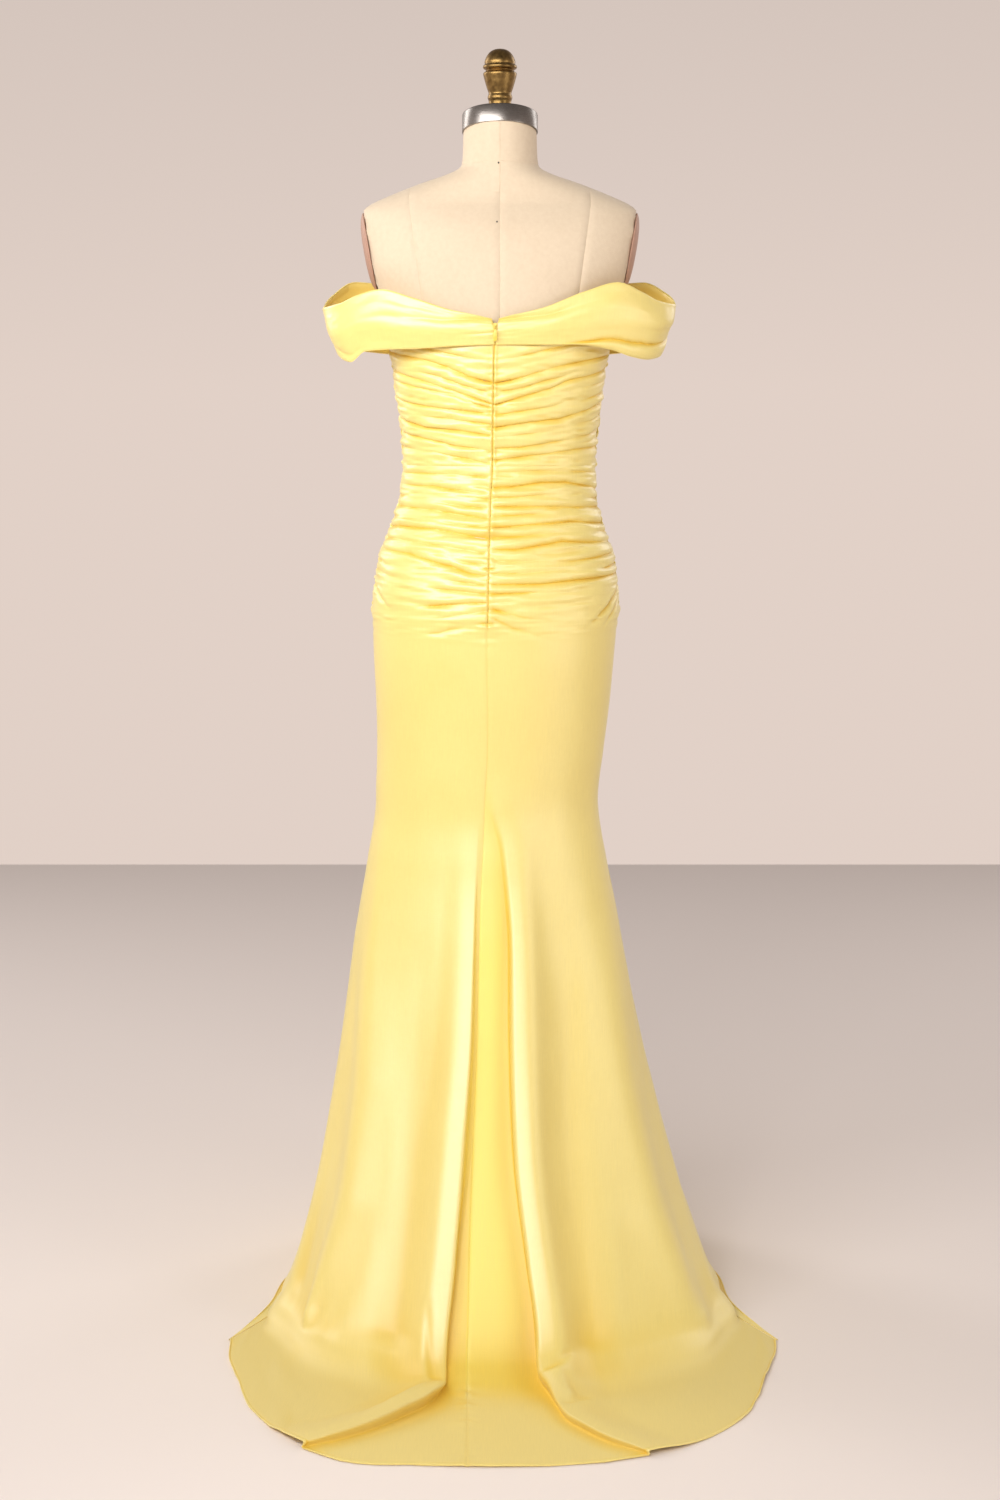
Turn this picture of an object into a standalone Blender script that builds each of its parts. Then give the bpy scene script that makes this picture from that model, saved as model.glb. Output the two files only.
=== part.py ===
"""Off-shoulder satin maxi dress with ruched bodice and fishtail train, on a limbless dress form.

Metres, +Z up. The origin is on the floor under the form's pole, +Y points to the
front of the garment and +X to the wearer's right. The dress is cut as three bodice
panels, three skirt panels and three pieces of off-shoulder band, with a zip at the
centre back. Every panel is a wall swept through sections of one figure.
"""

import math
from functools import lru_cache
from types import SimpleNamespace

import bmesh
import bpy
from mathutils import Matrix, Vector

# Cloth and clearances
CLOTH = 0.0016
SEAM_GAP = 0.0003
SIDE_GAP = 0.0012
BACK_GAP = 0.0005
ARM_GAP = 0.0005
EASE = 0.0032
ZIP_GAP = 0.0022
CHAIN_WIDTH = 0.0013

# Heights of the garment's landmarks
WAIST = 1.145
ZIP_END = 0.935
FORM_BOTTOM = 0.80
FORM_TOP = 1.588

# Bust of the general figure that carries the cloth
BUST_HEIGHT = 1.275
BUST_APART = 0.085
BUST_RISE = 0.020
BUST_WIDTH = 0.045
BUST_TALL = 0.055

# Gathers
GATHER_RISE = 0.0026
GATHER_SPACING = 0.014

# Skirt folds
FOLD_WIDTH = 0.012
FOLD_OVERHANG = 0.0045
FOLD_FADE = 6.0

# Off-shoulder band
BAND_REACH = 0.2365
BAND_BULGE = 0.0075
NOTCH_HALF = 0.0038

# Zip slider, its bridge and the pull that hangs from it. Each row of the pull's outline is a
# height and half width of its edge, then a height and half width of its eye.
PIVOT_HEIGHT = 1.3280
SLIDER_SIZE = (0.0046, 0.0022, 0.0085)
PULL_THICK = 0.0010
PULL_OUTLINE = [
    (0.00045, 0.0, -0.00045, 0.0),
    (0.00045, 0.00120, -0.00045, 0.00070),
    (0.0, 0.00165, -0.00075, 0.00095),
    (-0.0018, 0.00180, -0.0014, 0.00095),
    (-0.0045, 0.00200, -0.0020, 0.00095),
    (-0.0090, 0.00240, -0.0026, 0.00095),
    (-0.0135, 0.00275, -0.0030, 0.00080),
    (-0.0170, 0.00235, -0.0032, 0.00045),
    (-0.0185, 0.00120, -0.0033, 0.00020),
    (-0.0189, 0.0, -0.0033, 0.0),
]
BRIDGE_INNER = 0.00105
BRIDGE_OUTER = 0.00185
BRIDGE_HALF = 0.00045
BRIDGE_CORNERS = (
    (-1, BRIDGE_OUTER), (1, BRIDGE_OUTER), (1, BRIDGE_INNER), (-1, BRIDGE_INNER)
)
BRIDGE_STEPS = 8

# Neck of the form: it is cut aslant, higher at the back, and its cap lies on the slant
NECK_AXIS = -0.004
NECK_SLANT = 0.23
SLANT_START = 1.545
CAP_HEIGHT = 0.0245

# Finial on the cap, by radius and height above its foot, and the low part that takes the slant
FINIAL = [
    (0.0, 0.0830), (0.007, 0.0820), (0.0140, 0.0778), (0.0195, 0.0700), (0.0220, 0.0630),
    (0.0228, 0.0590), (0.0205, 0.0560), (0.0205, 0.0540), (0.0225, 0.0515), (0.0215, 0.0450),
    (0.0190, 0.0340), (0.0160, 0.0265), (0.0155, 0.0235), (0.0165, 0.0200), (0.0150, 0.0160),
    (0.0150, 0.0), (0.0, 0.0),
]
FINIAL_SEAT = 0.010

# Arm plates of the form, half their height and half their width
PLATE_TALL = 0.053
PLATE_WIDE = 0.034
PLATE_THICK = 0.0045
PLATE_HEIGHT = 1.430
PLATE_FORWARD = -0.010

# Stand of the form
POLE_RADIUS = 0.016
BASE_RADIUS = 0.170
BASE_EDGE = 0.012
HUB_RADIUS = 0.034
HUB_HEIGHT = 0.050

# Facets around round and oval pieces, and steps that measure a section's curve
AROUND = 32
ROUND_STEPS = 20
CURVE_STEPS = 24

# Columns of the front panels, as shares of the way from the centre to the side
BODICE_SHARES = (0.0, 0.17, 0.34, 0.51, 0.68, 0.84, 1.0)
SKIRT_SHARES = (0.0, 0.22, 0.44, 0.66, 0.84, 0.94, 1.0)


class Sections:
    """A table of named columns, read smoothly and without overshoot between its rows."""

    def __init__(self, columns, rows):
        self.names = columns[1:]
        self.keys = [row[0] for row in rows]
        self.values = [[row[i + 1] for row in rows] for i in range(len(self.names))]
        self.slopes = [self.even_slopes(column) for column in self.values]

    def even_slopes(self, column):
        rates = [
            (b - a) / (k1 - k0)
            for a, b, k0, k1 in zip(column, column[1:], self.keys, self.keys[1:])
        ]
        inner = [2 * a * b / (a + b) if a * b > 0 else 0.0 for a, b in zip(rates, rates[1:])]
        return [rates[0], *inner, rates[-1]]

    def at(self, key):
        key = min(max(key, self.keys[0]), self.keys[-1])
        i = max(n for n in range(len(self.keys) - 1) if key >= self.keys[n] or n == 0)
        step = self.keys[i + 1] - self.keys[i]
        t = (key - self.keys[i]) / step
        found = {}
        for name, column, slope in zip(self.names, self.values, self.slopes):
            found[name] = (
                column[i] * (1 + 2 * t) * (1 - t) ** 2
                + column[i + 1] * t * t * (3 - 2 * t)
                + step * slope[i] * t * (1 - t) ** 2
                - step * slope[i + 1] * t * t * (1 - t)
            )
        return SimpleNamespace(**found)


# Half widths and depths of the figure that the cloth's inner face follows, by height.
# Squareness is the reach of the section's rounding handles: 0.55 is an ellipse, more is
# boxier. The form itself is smaller all round by the ease.
FIGURE = Sections(
    ("height", "half", "back", "front", "centre", "square"),
    [
        (0.800, 0.151, 0.108, 0.096, -0.008, 0.57),
        (0.860, 0.160, 0.114, 0.102, -0.007, 0.57),
        (0.950, 0.1680, 0.122, 0.108, -0.006, 0.57),
        (1.013, 0.1610, 0.114, 0.110, -0.005, 0.57),
        (1.060, 0.1450, 0.100, 0.107, -0.004, 0.56),
        (1.100, 0.1335, 0.089, 0.102, -0.003, 0.55),
        (1.145, 0.1295, 0.085, 0.098, -0.001, 0.55),
        (1.190, 0.1325, 0.089, 0.106, -0.001, 0.56),
        (1.240, 0.1385, 0.095, 0.118, -0.001, 0.58),
        (1.290, 0.1455, 0.100, 0.124, -0.001, 0.60),
        (1.340, 0.158, 0.104, 0.113, 0.000, 0.62),
        (1.374, 0.168, 0.104, 0.100, 0.000, 0.64),
        (1.400, 0.183, 0.103, 0.091, 0.000, 0.62),
        (1.430, 0.193, 0.097, 0.079, 0.000, 0.62),
        (1.458, 0.197, 0.088, 0.067, 0.000, 0.62),
        (1.482, 0.192, 0.074, 0.054, 0.000, 0.64),
        (1.492, 0.180, 0.067, 0.048, 0.000, 0.64),
        (1.507, 0.147, 0.062, 0.045, 0.000, 0.60),
        (1.522, 0.108, 0.059, 0.044, 0.000, 0.56),
        (1.534, 0.072, 0.057, 0.044, 0.000, 0.55),
        (1.543, 0.0560, 0.056, 0.045, 0.000, 0.55),
        (1.556, 0.0535, 0.055, 0.046, 0.000, 0.55),
        (1.588, 0.0525, 0.052, 0.044, 0.000, 0.55),
    ],
)
FORM_ROWS = (
    0.800, 0.850, 0.900, 0.950, 0.985, 1.020, 1.060, 1.100, 1.145, 1.190, 1.235, 1.275,
    1.310, 1.345, 1.374, 1.400, 1.430, 1.458, 1.482, 1.492, 1.507, 1.522, 1.534, 1.543,
    1.556, 1.588,
)

# The flat armhole side of the form: its distance from the middle at two heights
ARMHOLE_TOP = (1.483, 0.1835)
ARMHOLE_LOW = (1.374, 0.1645)

# Skirt sections under the hip, by distance down from the waist seam. Past the floor the
# distance runs on along it. Side is how far the side seam lies in front of the pole, flat
# is the rounding handle at the centre back, and tip is 1 where the hem turns sharply
# forward at the train's corner.
SKIRT_COLUMNS = (
    "down", "half", "back", "front", "side", "centre", "square", "flat", "tip"
)
SKIRT_LOW_ROWS = [
    (0.245, 0.1680, 0.1235, 0.1110, 0.000, -0.008, 0.57, 0.57, 0.0),
    (0.325, 0.1630, 0.1180, 0.1090, 0.000, -0.010, 0.57, 0.57, 0.0),
    (0.395, 0.1585, 0.1120, 0.1070, 0.000, -0.014, 0.57, 0.57, 0.0),
    (0.465, 0.1560, 0.1100, 0.1070, -0.002, -0.019, 0.57, 0.57, 0.0),
    (0.545, 0.1670, 0.1230, 0.1130, -0.008, -0.019, 0.57, 0.57, 0.0),
    (0.645, 0.1850, 0.1520, 0.1280, -0.020, -0.017, 0.57, 0.57, 0.0),
    (0.759, 0.2035, 0.1960, 0.1500, -0.038, -0.013, 0.57, 0.57, 0.0),
    (0.875, 0.2240, 0.2500, 0.1720, -0.062, -0.008, 0.58, 0.58, 0.0),
    (0.985, 0.2470, 0.3120, 0.1940, -0.096, -0.003, 0.59, 0.60, 0.0),
    (1.075, 0.2730, 0.3720, 0.2110, -0.136, 0.001, 0.60, 0.61, 0.0),
    (1.125, 0.2900, 0.4100, 0.2210, -0.168, 0.002, 0.60, 0.62, 0.00),
    (1.145, 0.2990, 0.4320, 0.2270, -0.188, 0.003, 0.60, 0.62, 0.00),
    (1.375, 0.3590, 0.6590, 0.2700, -0.294, 0.004, 0.535, 0.82, 1.00),
]
TIP_BACK = 0.030
TIP_SWING = -0.003

# The train's rear corner on the left is fuller: its reach, place and width in turns
LEFT_CORNER = (0.018, 0.33, 0.13)

# The front hem lies a little way out on the floor, less at the sides, and runs back into the
# train's corners
FRONT_SPREAD = 0.016
SIDE_SPREAD = 0.005
CORNER_PULL = 30
HEM_DOWN = 1.375

# Where the centre-back seam runs beside the section's middle, by distance down
SEAM_LINE = Sections(
    ("down", "aside"),
    [
        (-0.200, -0.006),
        (0.000, -0.009),
        (0.212, -0.010),
        (0.450, -0.002),
        (0.600, -0.009),
        (0.760, -0.018),
        (0.900, -0.030),
        (1.050, -0.041),
        (1.145, -0.044),
        (1.375, -0.042),
    ],
)

# The two deep folds beside the centre back: distance of each crest from the seam, its rise,
# and how far the cloth between them falls back
BACK_FOLDS = Sections(
    ("down", "crest_left", "crest_right", "rise_left", "rise_right", "sink"),
    [
        (0.000, 0.060, 0.060, 0.0, 0.0, 0.0),
        (0.200, 0.062, 0.066, 0.0, 0.0, 0.0),
        (0.400, 0.030, 0.044, 0.0, 0.0, 0.0),
        (0.520, 0.014, 0.034, 0.003, 0.005, 0.0),
        (0.640, 0.011, 0.045, 0.010, 0.013, 0.004),
        (0.760, 0.012, 0.052, 0.016, 0.018, 0.008),
        (0.900, 0.016, 0.061, 0.020, 0.020, 0.010),
        (1.020, 0.024, 0.079, 0.020, 0.020, 0.008),
        (1.100, 0.034, 0.090, 0.018, 0.018, 0.003),
        (1.145, 0.038, 0.098, 0.014, 0.014, 0.0),
        (1.175, 0.044, 0.109, 0.012, 0.013, 0.0),
        (1.220, 0.062, 0.120, 0.012, 0.013, 0.0),
        (1.255, 0.088, 0.134, 0.012, 0.013, 0.0),
        (1.285, 0.108, 0.157, 0.011, 0.012, 0.0),
        (1.330, 0.151, 0.192, 0.011, 0.012, 0.0),
        (1.375, 0.206, 0.230, 0.010, 0.010, 0.0),
    ],
)

# Soft flutes of the skirt: turn around the section (0 centre back, 1 right side, 2 centre
# front, 3 left side), width in turns, rise at the floor, and distance down where it starts
FLUTES = [
    (0.62, 0.10, 0.008, 0.70),
    (0.93, 0.08, 0.010, 0.75),
    (1.20, 0.13, 0.012, 0.66),
    (1.65, 0.12, 0.013, 0.60),
    (2.40, 0.12, 0.012, 0.62),
    (2.86, 0.12, 0.011, 0.70),
    (3.10, 0.08, 0.012, 0.66),
    (3.42, 0.11, 0.007, 0.72),
]

# Creases of the ruching, as heights at the panel's centre edge and at its side seam
BODICE_CREASES = [
    (1.333, 1.335),
    (1.309, 1.320),
    (1.285, 1.305),
    (1.256, 1.289),
    (1.230, 1.269),
    (1.212, 1.248),
    (1.194, 1.225),
    (1.176, 1.200),
    (1.160, 1.174),
    (1.1452, 1.1452),
]
HIP_CREASES = [
    (1.1448, 1.1448),
    (1.130, 1.129),
    (1.113, 1.112),
    (1.094, 1.094),
    (1.076, 1.076),
    (1.060, 1.060),
    (1.040, 1.044),
    (1.022, 1.030),
    (1.004, 1.017),
    (0.989, 1.004),
    (0.973, 0.991),
    (0.956, 0.979),
    (0.938, 0.965),
]
CREST_STEPS = ((0.0, 0.0), (0.30, 0.92), (0.68, 0.80))

# The band, by share of the way from the centre back to the outer arm. Heights of its top
# and bottom edges on each side.
BAND_BACK = Sections(
    ("along", "top_right", "bottom_right", "top_left", "bottom_left"),
    [
        (0.00, 1.340, 1.305, 1.340, 1.305),
        (0.15, 1.353, 1.305, 1.350, 1.303),
        (0.30, 1.374, 1.304, 1.366, 1.300),
        (0.45, 1.387, 1.298, 1.378, 1.299),
        (0.58, 1.386, 1.289, 1.379, 1.297),
        (0.70, 1.376, 1.286, 1.371, 1.283),
        (0.85, 1.366, 1.289, 1.360, 1.289),
        (1.00, 1.364, 1.302, 1.356, 1.310),
    ],
)
BAND_FRONT = Sections(
    ("along", "top_right", "bottom_right", "top_left", "bottom_left"),
    [
        (0.00, 1.364, 1.302, 1.356, 1.310),
        (0.20, 1.378, 1.300, 1.370, 1.303),
        (0.40, 1.392, 1.298, 1.387, 1.298),
        (0.60, 1.389, 1.294, 1.386, 1.294),
        (0.80, 1.368, 1.289, 1.367, 1.289),
        (1.00, 1.348, 1.286, 1.348, 1.286),
    ],
)

SATIN = ("satin", (0.96, 0.87, 0.42), 0.38, 0.0)
LINEN = ("linen", (0.88, 0.80, 0.66), 0.90, 0.0)
PLATE = ("arm plate", (0.62, 0.42, 0.30), 0.60, 0.0)
STEEL = ("steel", (0.62, 0.60, 0.58), 0.28, 1.0)
BRASS = ("old brass", (0.42, 0.29, 0.12), 0.35, 1.0)
IRON = ("iron", (0.06, 0.06, 0.06), 0.50, 0.6)
ZIP_YELLOW = ("zip", (0.92, 0.80, 0.30), 0.45, 0.0)


def smoothstep(t):
    t = min(max(t, 0.0), 1.0)
    return t * t * (3 - 2 * t)


def mix(a, b, t):
    return a + (b - a) * t


def bezier(p0, p1, p2, p3, t):
    """Point and tangent of a cubic curve in plan."""
    s = 1 - t
    point = p0 * s**3 + p1 * (3 * s * s * t) + p2 * (3 * s * t * t) + p3 * t**3
    tangent = (p1 - p0) * (3 * s * s) + (p2 - p1) * (6 * s * t) + (p3 - p2) * (3 * t * t)
    return point, tangent


def figure_section(height, grow=0.0):
    """The figure's section at a height, grown outwards by a distance."""
    s = FIGURE.at(height)
    return SimpleNamespace(
        half=s.half + grow, back=s.back + grow, front=s.front + grow,
        side=0.0, centre=s.centre, square=s.square, flat=s.square, tip=0.0,
    )


def armhole(height):
    """Distance of the form's flat armhole side from the middle, past which nothing reaches."""
    share = (height - ARMHOLE_LOW[0]) / (ARMHOLE_TOP[0] - ARMHOLE_LOW[0])
    return mix(ARMHOLE_LOW[1], ARMHOLE_TOP[1], share) if share >= 0 else 1.0


def skirt_table():
    """The skirt's sections: the figure's own at the hip, then the hanging and lying cloth."""
    rows = []
    for height in (1.060, 1.013, 0.980, 0.950):
        s = figure_section(height, CLOTH)
        rows.append(
            (WAIST - height, s.half, s.back, s.front, 0.0, s.centre, s.square, s.square, 0.0)
        )
    return Sections(SKIRT_COLUMNS, rows + SKIRT_LOW_ROWS)


SKIRT = skirt_table()
HIP_DOWN = WAIST - 0.980


@lru_cache(maxsize=None)
def dress_section(down):
    """The dress's outer section, at a distance down from the waist seam."""
    if down <= HIP_DOWN:
        return figure_section(WAIST - down, CLOTH)
    return SKIRT.at(down)


def height_of(down):
    """Height of the cloth's outer face: it falls straight, then lies on the floor."""
    return max(WAIST - down, CLOTH)


def bust(x, height, bridged):
    """How far the bust stands out. Cloth bridges the hollow between its two sides."""
    beside = abs(x) - BUST_APART
    if bridged:
        beside = max(beside, 0.0)
    level = (height - BUST_HEIGHT) / BUST_TALL
    return BUST_RISE * math.exp(-((beside / BUST_WIDTH) ** 2) - level**2)


def quarter_handles(section, front):
    """The four points of the cubic curve of a quarter section on the right side."""
    s = section
    side_point = Vector((s.half, s.side))
    if not front:
        reach = s.square * (s.back + s.side)
        return (
            Vector((0, -s.back)),
            Vector((s.flat * s.half, -s.back)),
            Vector((s.half - TIP_BACK * s.tip, s.side - reach)),
            side_point,
        )
    return (
        side_point,
        Vector((s.half, s.side + s.square * (s.front - s.side))),
        Vector((s.square * s.half, s.front)),
        Vector((0, s.front)),
    )


@lru_cache(maxsize=None)
def quarter_measure(half, back, front, side, square, flat, tip, is_front):
    """Running lengths along a quarter section, at even steps of its curve."""
    section = SimpleNamespace(
        half=half, back=back, front=front, side=side, square=square, flat=flat, tip=tip
    )
    handles = quarter_handles(section, is_front)
    points = [bezier(*handles, i / CURVE_STEPS)[0] for i in range(CURVE_STEPS + 1)]
    lengths = [0.0]
    for a, b in zip(points, points[1:]):
        lengths.append(lengths[-1] + (b - a).length)
    return lengths


def measure(section, front):
    """Running lengths of a section's quarter."""
    s = section
    return quarter_measure(s.half, s.back, s.front, s.side, s.square, s.flat, s.tip, front)


def curve_place(lengths, share):
    """Place on the curve at a share of its length."""
    want = share * lengths[-1]
    i = 0
    while i < CURVE_STEPS - 1 and lengths[i + 1] < want:
        i += 1
    return (i + (want - lengths[i]) / (lengths[i + 1] - lengths[i])) / CURVE_STEPS


def ring_point(section, turn, height, bridged=True):
    """Point and outward direction of a section. Turn is 0 at the centre back, 1 at the
    right side seam, 2 at the centre front and 3 at the left side seam, and runs evenly
    along each quarter."""
    mirrored = turn > 2
    turn = 4 - turn if mirrored else turn
    front = turn > 1
    place = curve_place(measure(section, front), turn - 1 if front else turn)
    point, tangent = bezier(*quarter_handles(section, front), place)
    if front:
        point.y += bust(point.x, height, bridged) * smoothstep((turn - 1) * 3)
    outward = Vector((tangent.y, -tangent.x)).normalized()
    if mirrored:
        if not front:
            reach, place, width = LEFT_CORNER
            point += outward * section.tip * reach * math.exp(-(((turn - place) / width) ** 2))
        point.x, outward.x = -point.x, -outward.x
    swing = 0.0 if front else TIP_SWING * section.tip * math.sin(math.pi * turn)
    point.x += section.centre + swing
    return point, outward


def quarter_length(down, front=False):
    """Length of a quarter section, at the back or at the front."""
    return measure(dress_section(down), front)[-1]


def flute_rise(down, turn):
    """Outward rise of the soft flutes."""
    total = 0.0
    for place, width, rise, start in FLUTES:
        grown = smoothstep((down - start) / (WAIST - start))
        total += rise * grown * math.exp(-(((turn - place) / width) ** 2))
    return total


def fold_shift(down, distance, right):
    """Outward and sideways shift of the deep fold beside the centre back. Sideways is
    counted away from the seam."""
    fold = BACK_FOLDS.at(down)
    crest = fold.crest_right if right else fold.crest_left
    rise = fold.rise_right if right else fold.rise_left
    width = min(FOLD_WIDTH, 0.85 * crest)
    q = (distance - crest) / width
    if q < 0.2:
        out = mix(-fold.sink, rise, smoothstep((q + 1) / 1.2))
    else:
        out = rise * (1 - smoothstep((q - 0.2) / FOLD_FADE))
    sharp = min(rise / 0.010, 1.0)
    foot = math.exp(-(((q + 0.85) / 0.45) ** 2)) * smoothstep(distance / FOLD_WIDTH)
    brow = math.exp(-(((q - 0.1) / 0.55) ** 2))
    return out, FOLD_OVERHANG * sharp * (foot - brow)


def front_hem_point(down, turn):
    """Point of the front where it lies on the floor, and its outward direction."""
    point, outward = ring_point(dress_section(WAIST), turn, 0.0)
    side = 1 if turn < 2 else 3
    corner = ring_point(dress_section(down), side, 0.0)[0]
    root = ring_point(dress_section(WAIST), side, 0.0)[0]
    pull = abs(turn - 2) ** CORNER_PULL
    reach = mix(FRONT_SPREAD, SIDE_SPREAD, smoothstep(1.4 * abs(turn - 2)))
    spread = reach * (down - WAIST) / (HEM_DOWN - WAIST) * (1 - pull)
    return point + outward * spread + (corner - root) * pull, outward


def skirt_point(down, turn, away=None, extra=0.0):
    """Point of the skirt's outer face, with its folds and flutes, raised by extra. Away is
    the distance from the centre-back seam, for the back panels only."""
    height = height_of(down)
    turn %= 4
    if away is None and down > WAIST:
        point, outward = front_hem_point(down, turn)
    else:
        point, outward = ring_point(dress_section(down), turn, height)
    fold = 0.0
    if away is not None:
        shift, aside = fold_shift(down, abs(away), away > 0)
        fold = shift
        point += Vector((-outward.y, outward.x)) * (aside if away > 0 else -aside)
    lying = smoothstep((down - WAIST + 0.030) / 0.045)
    fading = 0.0 if away is None else 0.5 * smoothstep((down - WAIST) / 0.10)
    flute = flute_rise(down, turn) * (1 - fading)
    place = point + outward * (extra + flute + fold * (1 - lying))
    return Vector((place.x, place.y, max(height + max(fold, 0.0) * lying, CLOTH)))


def crease_rows(creases):
    """Rows of a ruched panel: a trough at each crease and a rounded gather between two."""
    rows = []
    for number, (upper, lower) in enumerate(zip(creases, creases[1:])):
        spacing = upper[0] - lower[0]
        rise = GATHER_RISE * min(1.0, spacing / GATHER_SPACING)
        for share, swell in CREST_STEPS:
            rows.append(
                (mix(upper[0], lower[0], share), mix(upper[1], lower[1], share), rise * swell, number)
            )
    rows.append((*creases[-1], 0.0, len(creases)))
    return rows


def gather_swell(number, share):
    """Uneven strength of a gather along its length. Share is 0 at the centre edge."""
    caught = 0.78 + 0.22 * math.cos(2 * math.pi * share)
    return caught * (0.85 + 0.15 * math.sin(1.7 * number + 4.1 * share))


def centre_edge(height):
    """Half of the gap at the centre back: the zip's above its end, a seam's below."""
    return mix(BACK_GAP / 2, ZIP_GAP / 2, smoothstep((height - ZIP_END + 0.004) / 0.008))


def back_columns(distances, down, height, right):
    """Columns of a back panel, against the clock seen from above: share of the way from
    the centre edge to the side, turn, and distance from the seam line."""
    side = 1 if right else -1
    length = quarter_length(down)
    seam = SEAM_LINE.at(down).aside
    start, width = centre_edge(height), length - SIDE_GAP / 2 - side * seam
    columns = []
    for distance in distances(down, width):
        away = side * mix(start, width, distance / width)
        columns.append((distance / width, (seam + away) / length, away))
    return columns if right else columns[::-1]


def even_distances(down, width):
    """Seven even columns across a back panel."""
    return [width * i / 7 for i in range(8)]


def front_columns(half_shares, down):
    """Columns of a front panel: share of the way from the centre to the side, and turn."""
    edge = SIDE_GAP / 2 / quarter_length(down, front=True)
    shares = [-share for share in reversed(half_shares[1:])] + list(half_shares)
    turns = [2 + share * (1 - edge) for share in shares]
    return [(abs(share), turn, None) for share, turn in zip(shares, turns)]


def ruched_row(row, columns, bodice):
    """One row of a ruched panel. Its height slants from the centre edge to the side."""
    centre_height, side_height, rise, number = row
    points = []
    for share, turn, away in columns:
        slope = mix(0.35, 1.0, share) if away is None else share
        height = mix(centre_height, side_height, smoothstep(slope) if bodice else slope)
        point = skirt_point(WAIST - height, turn, away, rise * gather_swell(number, share))
        point.z = height
        points.append(point)
    return points


def new_material(finish):
    name, colour, roughness, metallic = finish
    material = bpy.data.materials.get(name)
    if material is None:
        material = bpy.data.materials.new(name)
        material.use_nodes = True
        shader = material.node_tree.nodes["Principled BSDF"]
        shader.inputs["Base Color"].default_value = (*colour, 1.0)
        shader.inputs["Roughness"].default_value = roughness
        shader.inputs["Metallic"].default_value = metallic
        material.diffuse_color = (*colour, 1.0)
    return material


def new_object(name, bm, finish, smooth=True):
    """An object from a bmesh, with its material, in the part's collection."""
    mesh = bpy.data.meshes.new(name)
    bm.to_mesh(mesh)
    bm.free()
    mesh.materials.append(new_material(finish))
    if smooth:
        mesh.shade_smooth()
    obj = bpy.data.objects.new(name, mesh)
    bpy.data.collections[PART_NAME].objects.link(obj)
    return obj


PART_NAME = "off_shoulder_maxi_dress"


def loft(rows, closed):
    """Faces between rows of points, outward when the rows run down and against the clock."""
    bm = bmesh.new()
    grid = [[bm.verts.new(point) for point in row] for row in rows]
    width = len(rows[0])
    for upper, lower in zip(grid, grid[1:]):
        for i in range(width if closed else width - 1):
            j = (i + 1) % width
            bm.faces.new((upper[i], lower[i], lower[j], upper[j]))
    if closed:
        bm.faces.new(grid[0])
        bm.faces.new(list(reversed(grid[-1])))
    return bm


def cloth_panel(name, rows):
    """A wall of even thickness behind an outer face, flat where it lies on the floor."""
    obj = new_object(name, loft(rows, closed=False), SATIN)
    wall = obj.modifiers.new("Cloth", "SOLIDIFY")
    wall.thickness = CLOTH
    wall.offset = -1
    wall.use_even_offset = True
    bpy.context.view_layer.objects.active = obj
    bpy.ops.object.modifier_apply(modifier=wall.name)
    for vertex in obj.data.vertices:
        vertex.co.z = max(vertex.co.z, 0.0)


def neck_rise(y):
    """Rise of the slanted neck above its middle."""
    return NECK_SLANT * (NECK_AXIS - y)


def turned(name, profile, finish, steps=ROUND_STEPS):
    """A turned piece from its radius and height pairs, given from the top down."""
    bm = bmesh.new()
    verts = [bm.verts.new((radius, 0, height)) for radius, height in profile]
    for a, b in zip(verts, verts[1:]):
        bm.edges.new((a, b))
    obj = new_object(name, bm, finish)
    screw = obj.modifiers.new("Turn", "SCREW")
    screw.steps = steps
    screw.render_steps = steps
    screw.use_merge_vertices = True
    screw.merge_threshold = 0.0001
    return obj


def add_bodice():
    """Ruched panels from the top edge to the waist seam."""
    creases = crease_rows(BODICE_CREASES)
    for right, name in ((True, "bodice_back_right"), (False, "bodice_back_left")):
        rows = []
        for crease in creases:
            columns = back_columns(even_distances, WAIST - crease[0], crease[0], right)
            rows.append(ruched_row(crease, columns, True))
        cloth_panel(name, rows)
    rows = []
    for crease in creases:
        rows.append(ruched_row(crease, front_columns(BODICE_SHARES, WAIST - crease[1]), True))
    cloth_panel("bodice_front", rows)


def fold_distances(right):
    """Columns of a back skirt panel, set close around the deep fold's crest."""

    def distances(down, width):
        fold = BACK_FOLDS.at(down)
        crest = fold.crest_right if right else fold.crest_left
        wide = min(FOLD_WIDTH, 0.85 * crest)
        near = [0.0, 0.5 * (crest - wide), crest - wide, crest - 0.45 * wide]
        near += [crest + 0.1 * wide, crest + 1.2 * wide, crest + 3.0 * wide]
        return near + [mix(near[-1], width, i / 5) for i in range(1, 6)]

    return distances


SKIRT_DOWNS = (
    0.240, 0.290, 0.350, 0.410, 0.470, 0.530, 0.595, 0.665, 0.740, 0.820,
    0.900, 0.975, 1.040, 1.090, 1.120, 1.137, 1.148, 1.195, 1.255, 1.315, 1.375,
)


def add_skirt():
    """Panels from the waist seam to the hem: ruched at the hip, then smooth to the train."""
    creases = crease_rows(HIP_CREASES)
    for right, name in ((True, "skirt_back_right"), (False, "skirt_back_left")):
        rows = []
        for crease in creases:
            columns = back_columns(fold_distances(right), WAIST - crease[0], crease[0], right)
            rows.append(ruched_row(crease, columns, False))
        for down in SKIRT_DOWNS:
            columns = back_columns(fold_distances(right), down, height_of(down), right)
            rows.append([skirt_point(down, turn, away) for _, turn, away in columns])
        cloth_panel(name, rows)
    rows = []
    for crease in creases:
        rows.append(ruched_row(crease, front_columns(SKIRT_SHARES, WAIST - crease[1]), False))
    for down in SKIRT_DOWNS:
        rows.append([skirt_point(down, turn) for _, turn, _ in front_columns(SKIRT_SHARES, down)])
    cloth_panel("skirt_front", rows)


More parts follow.
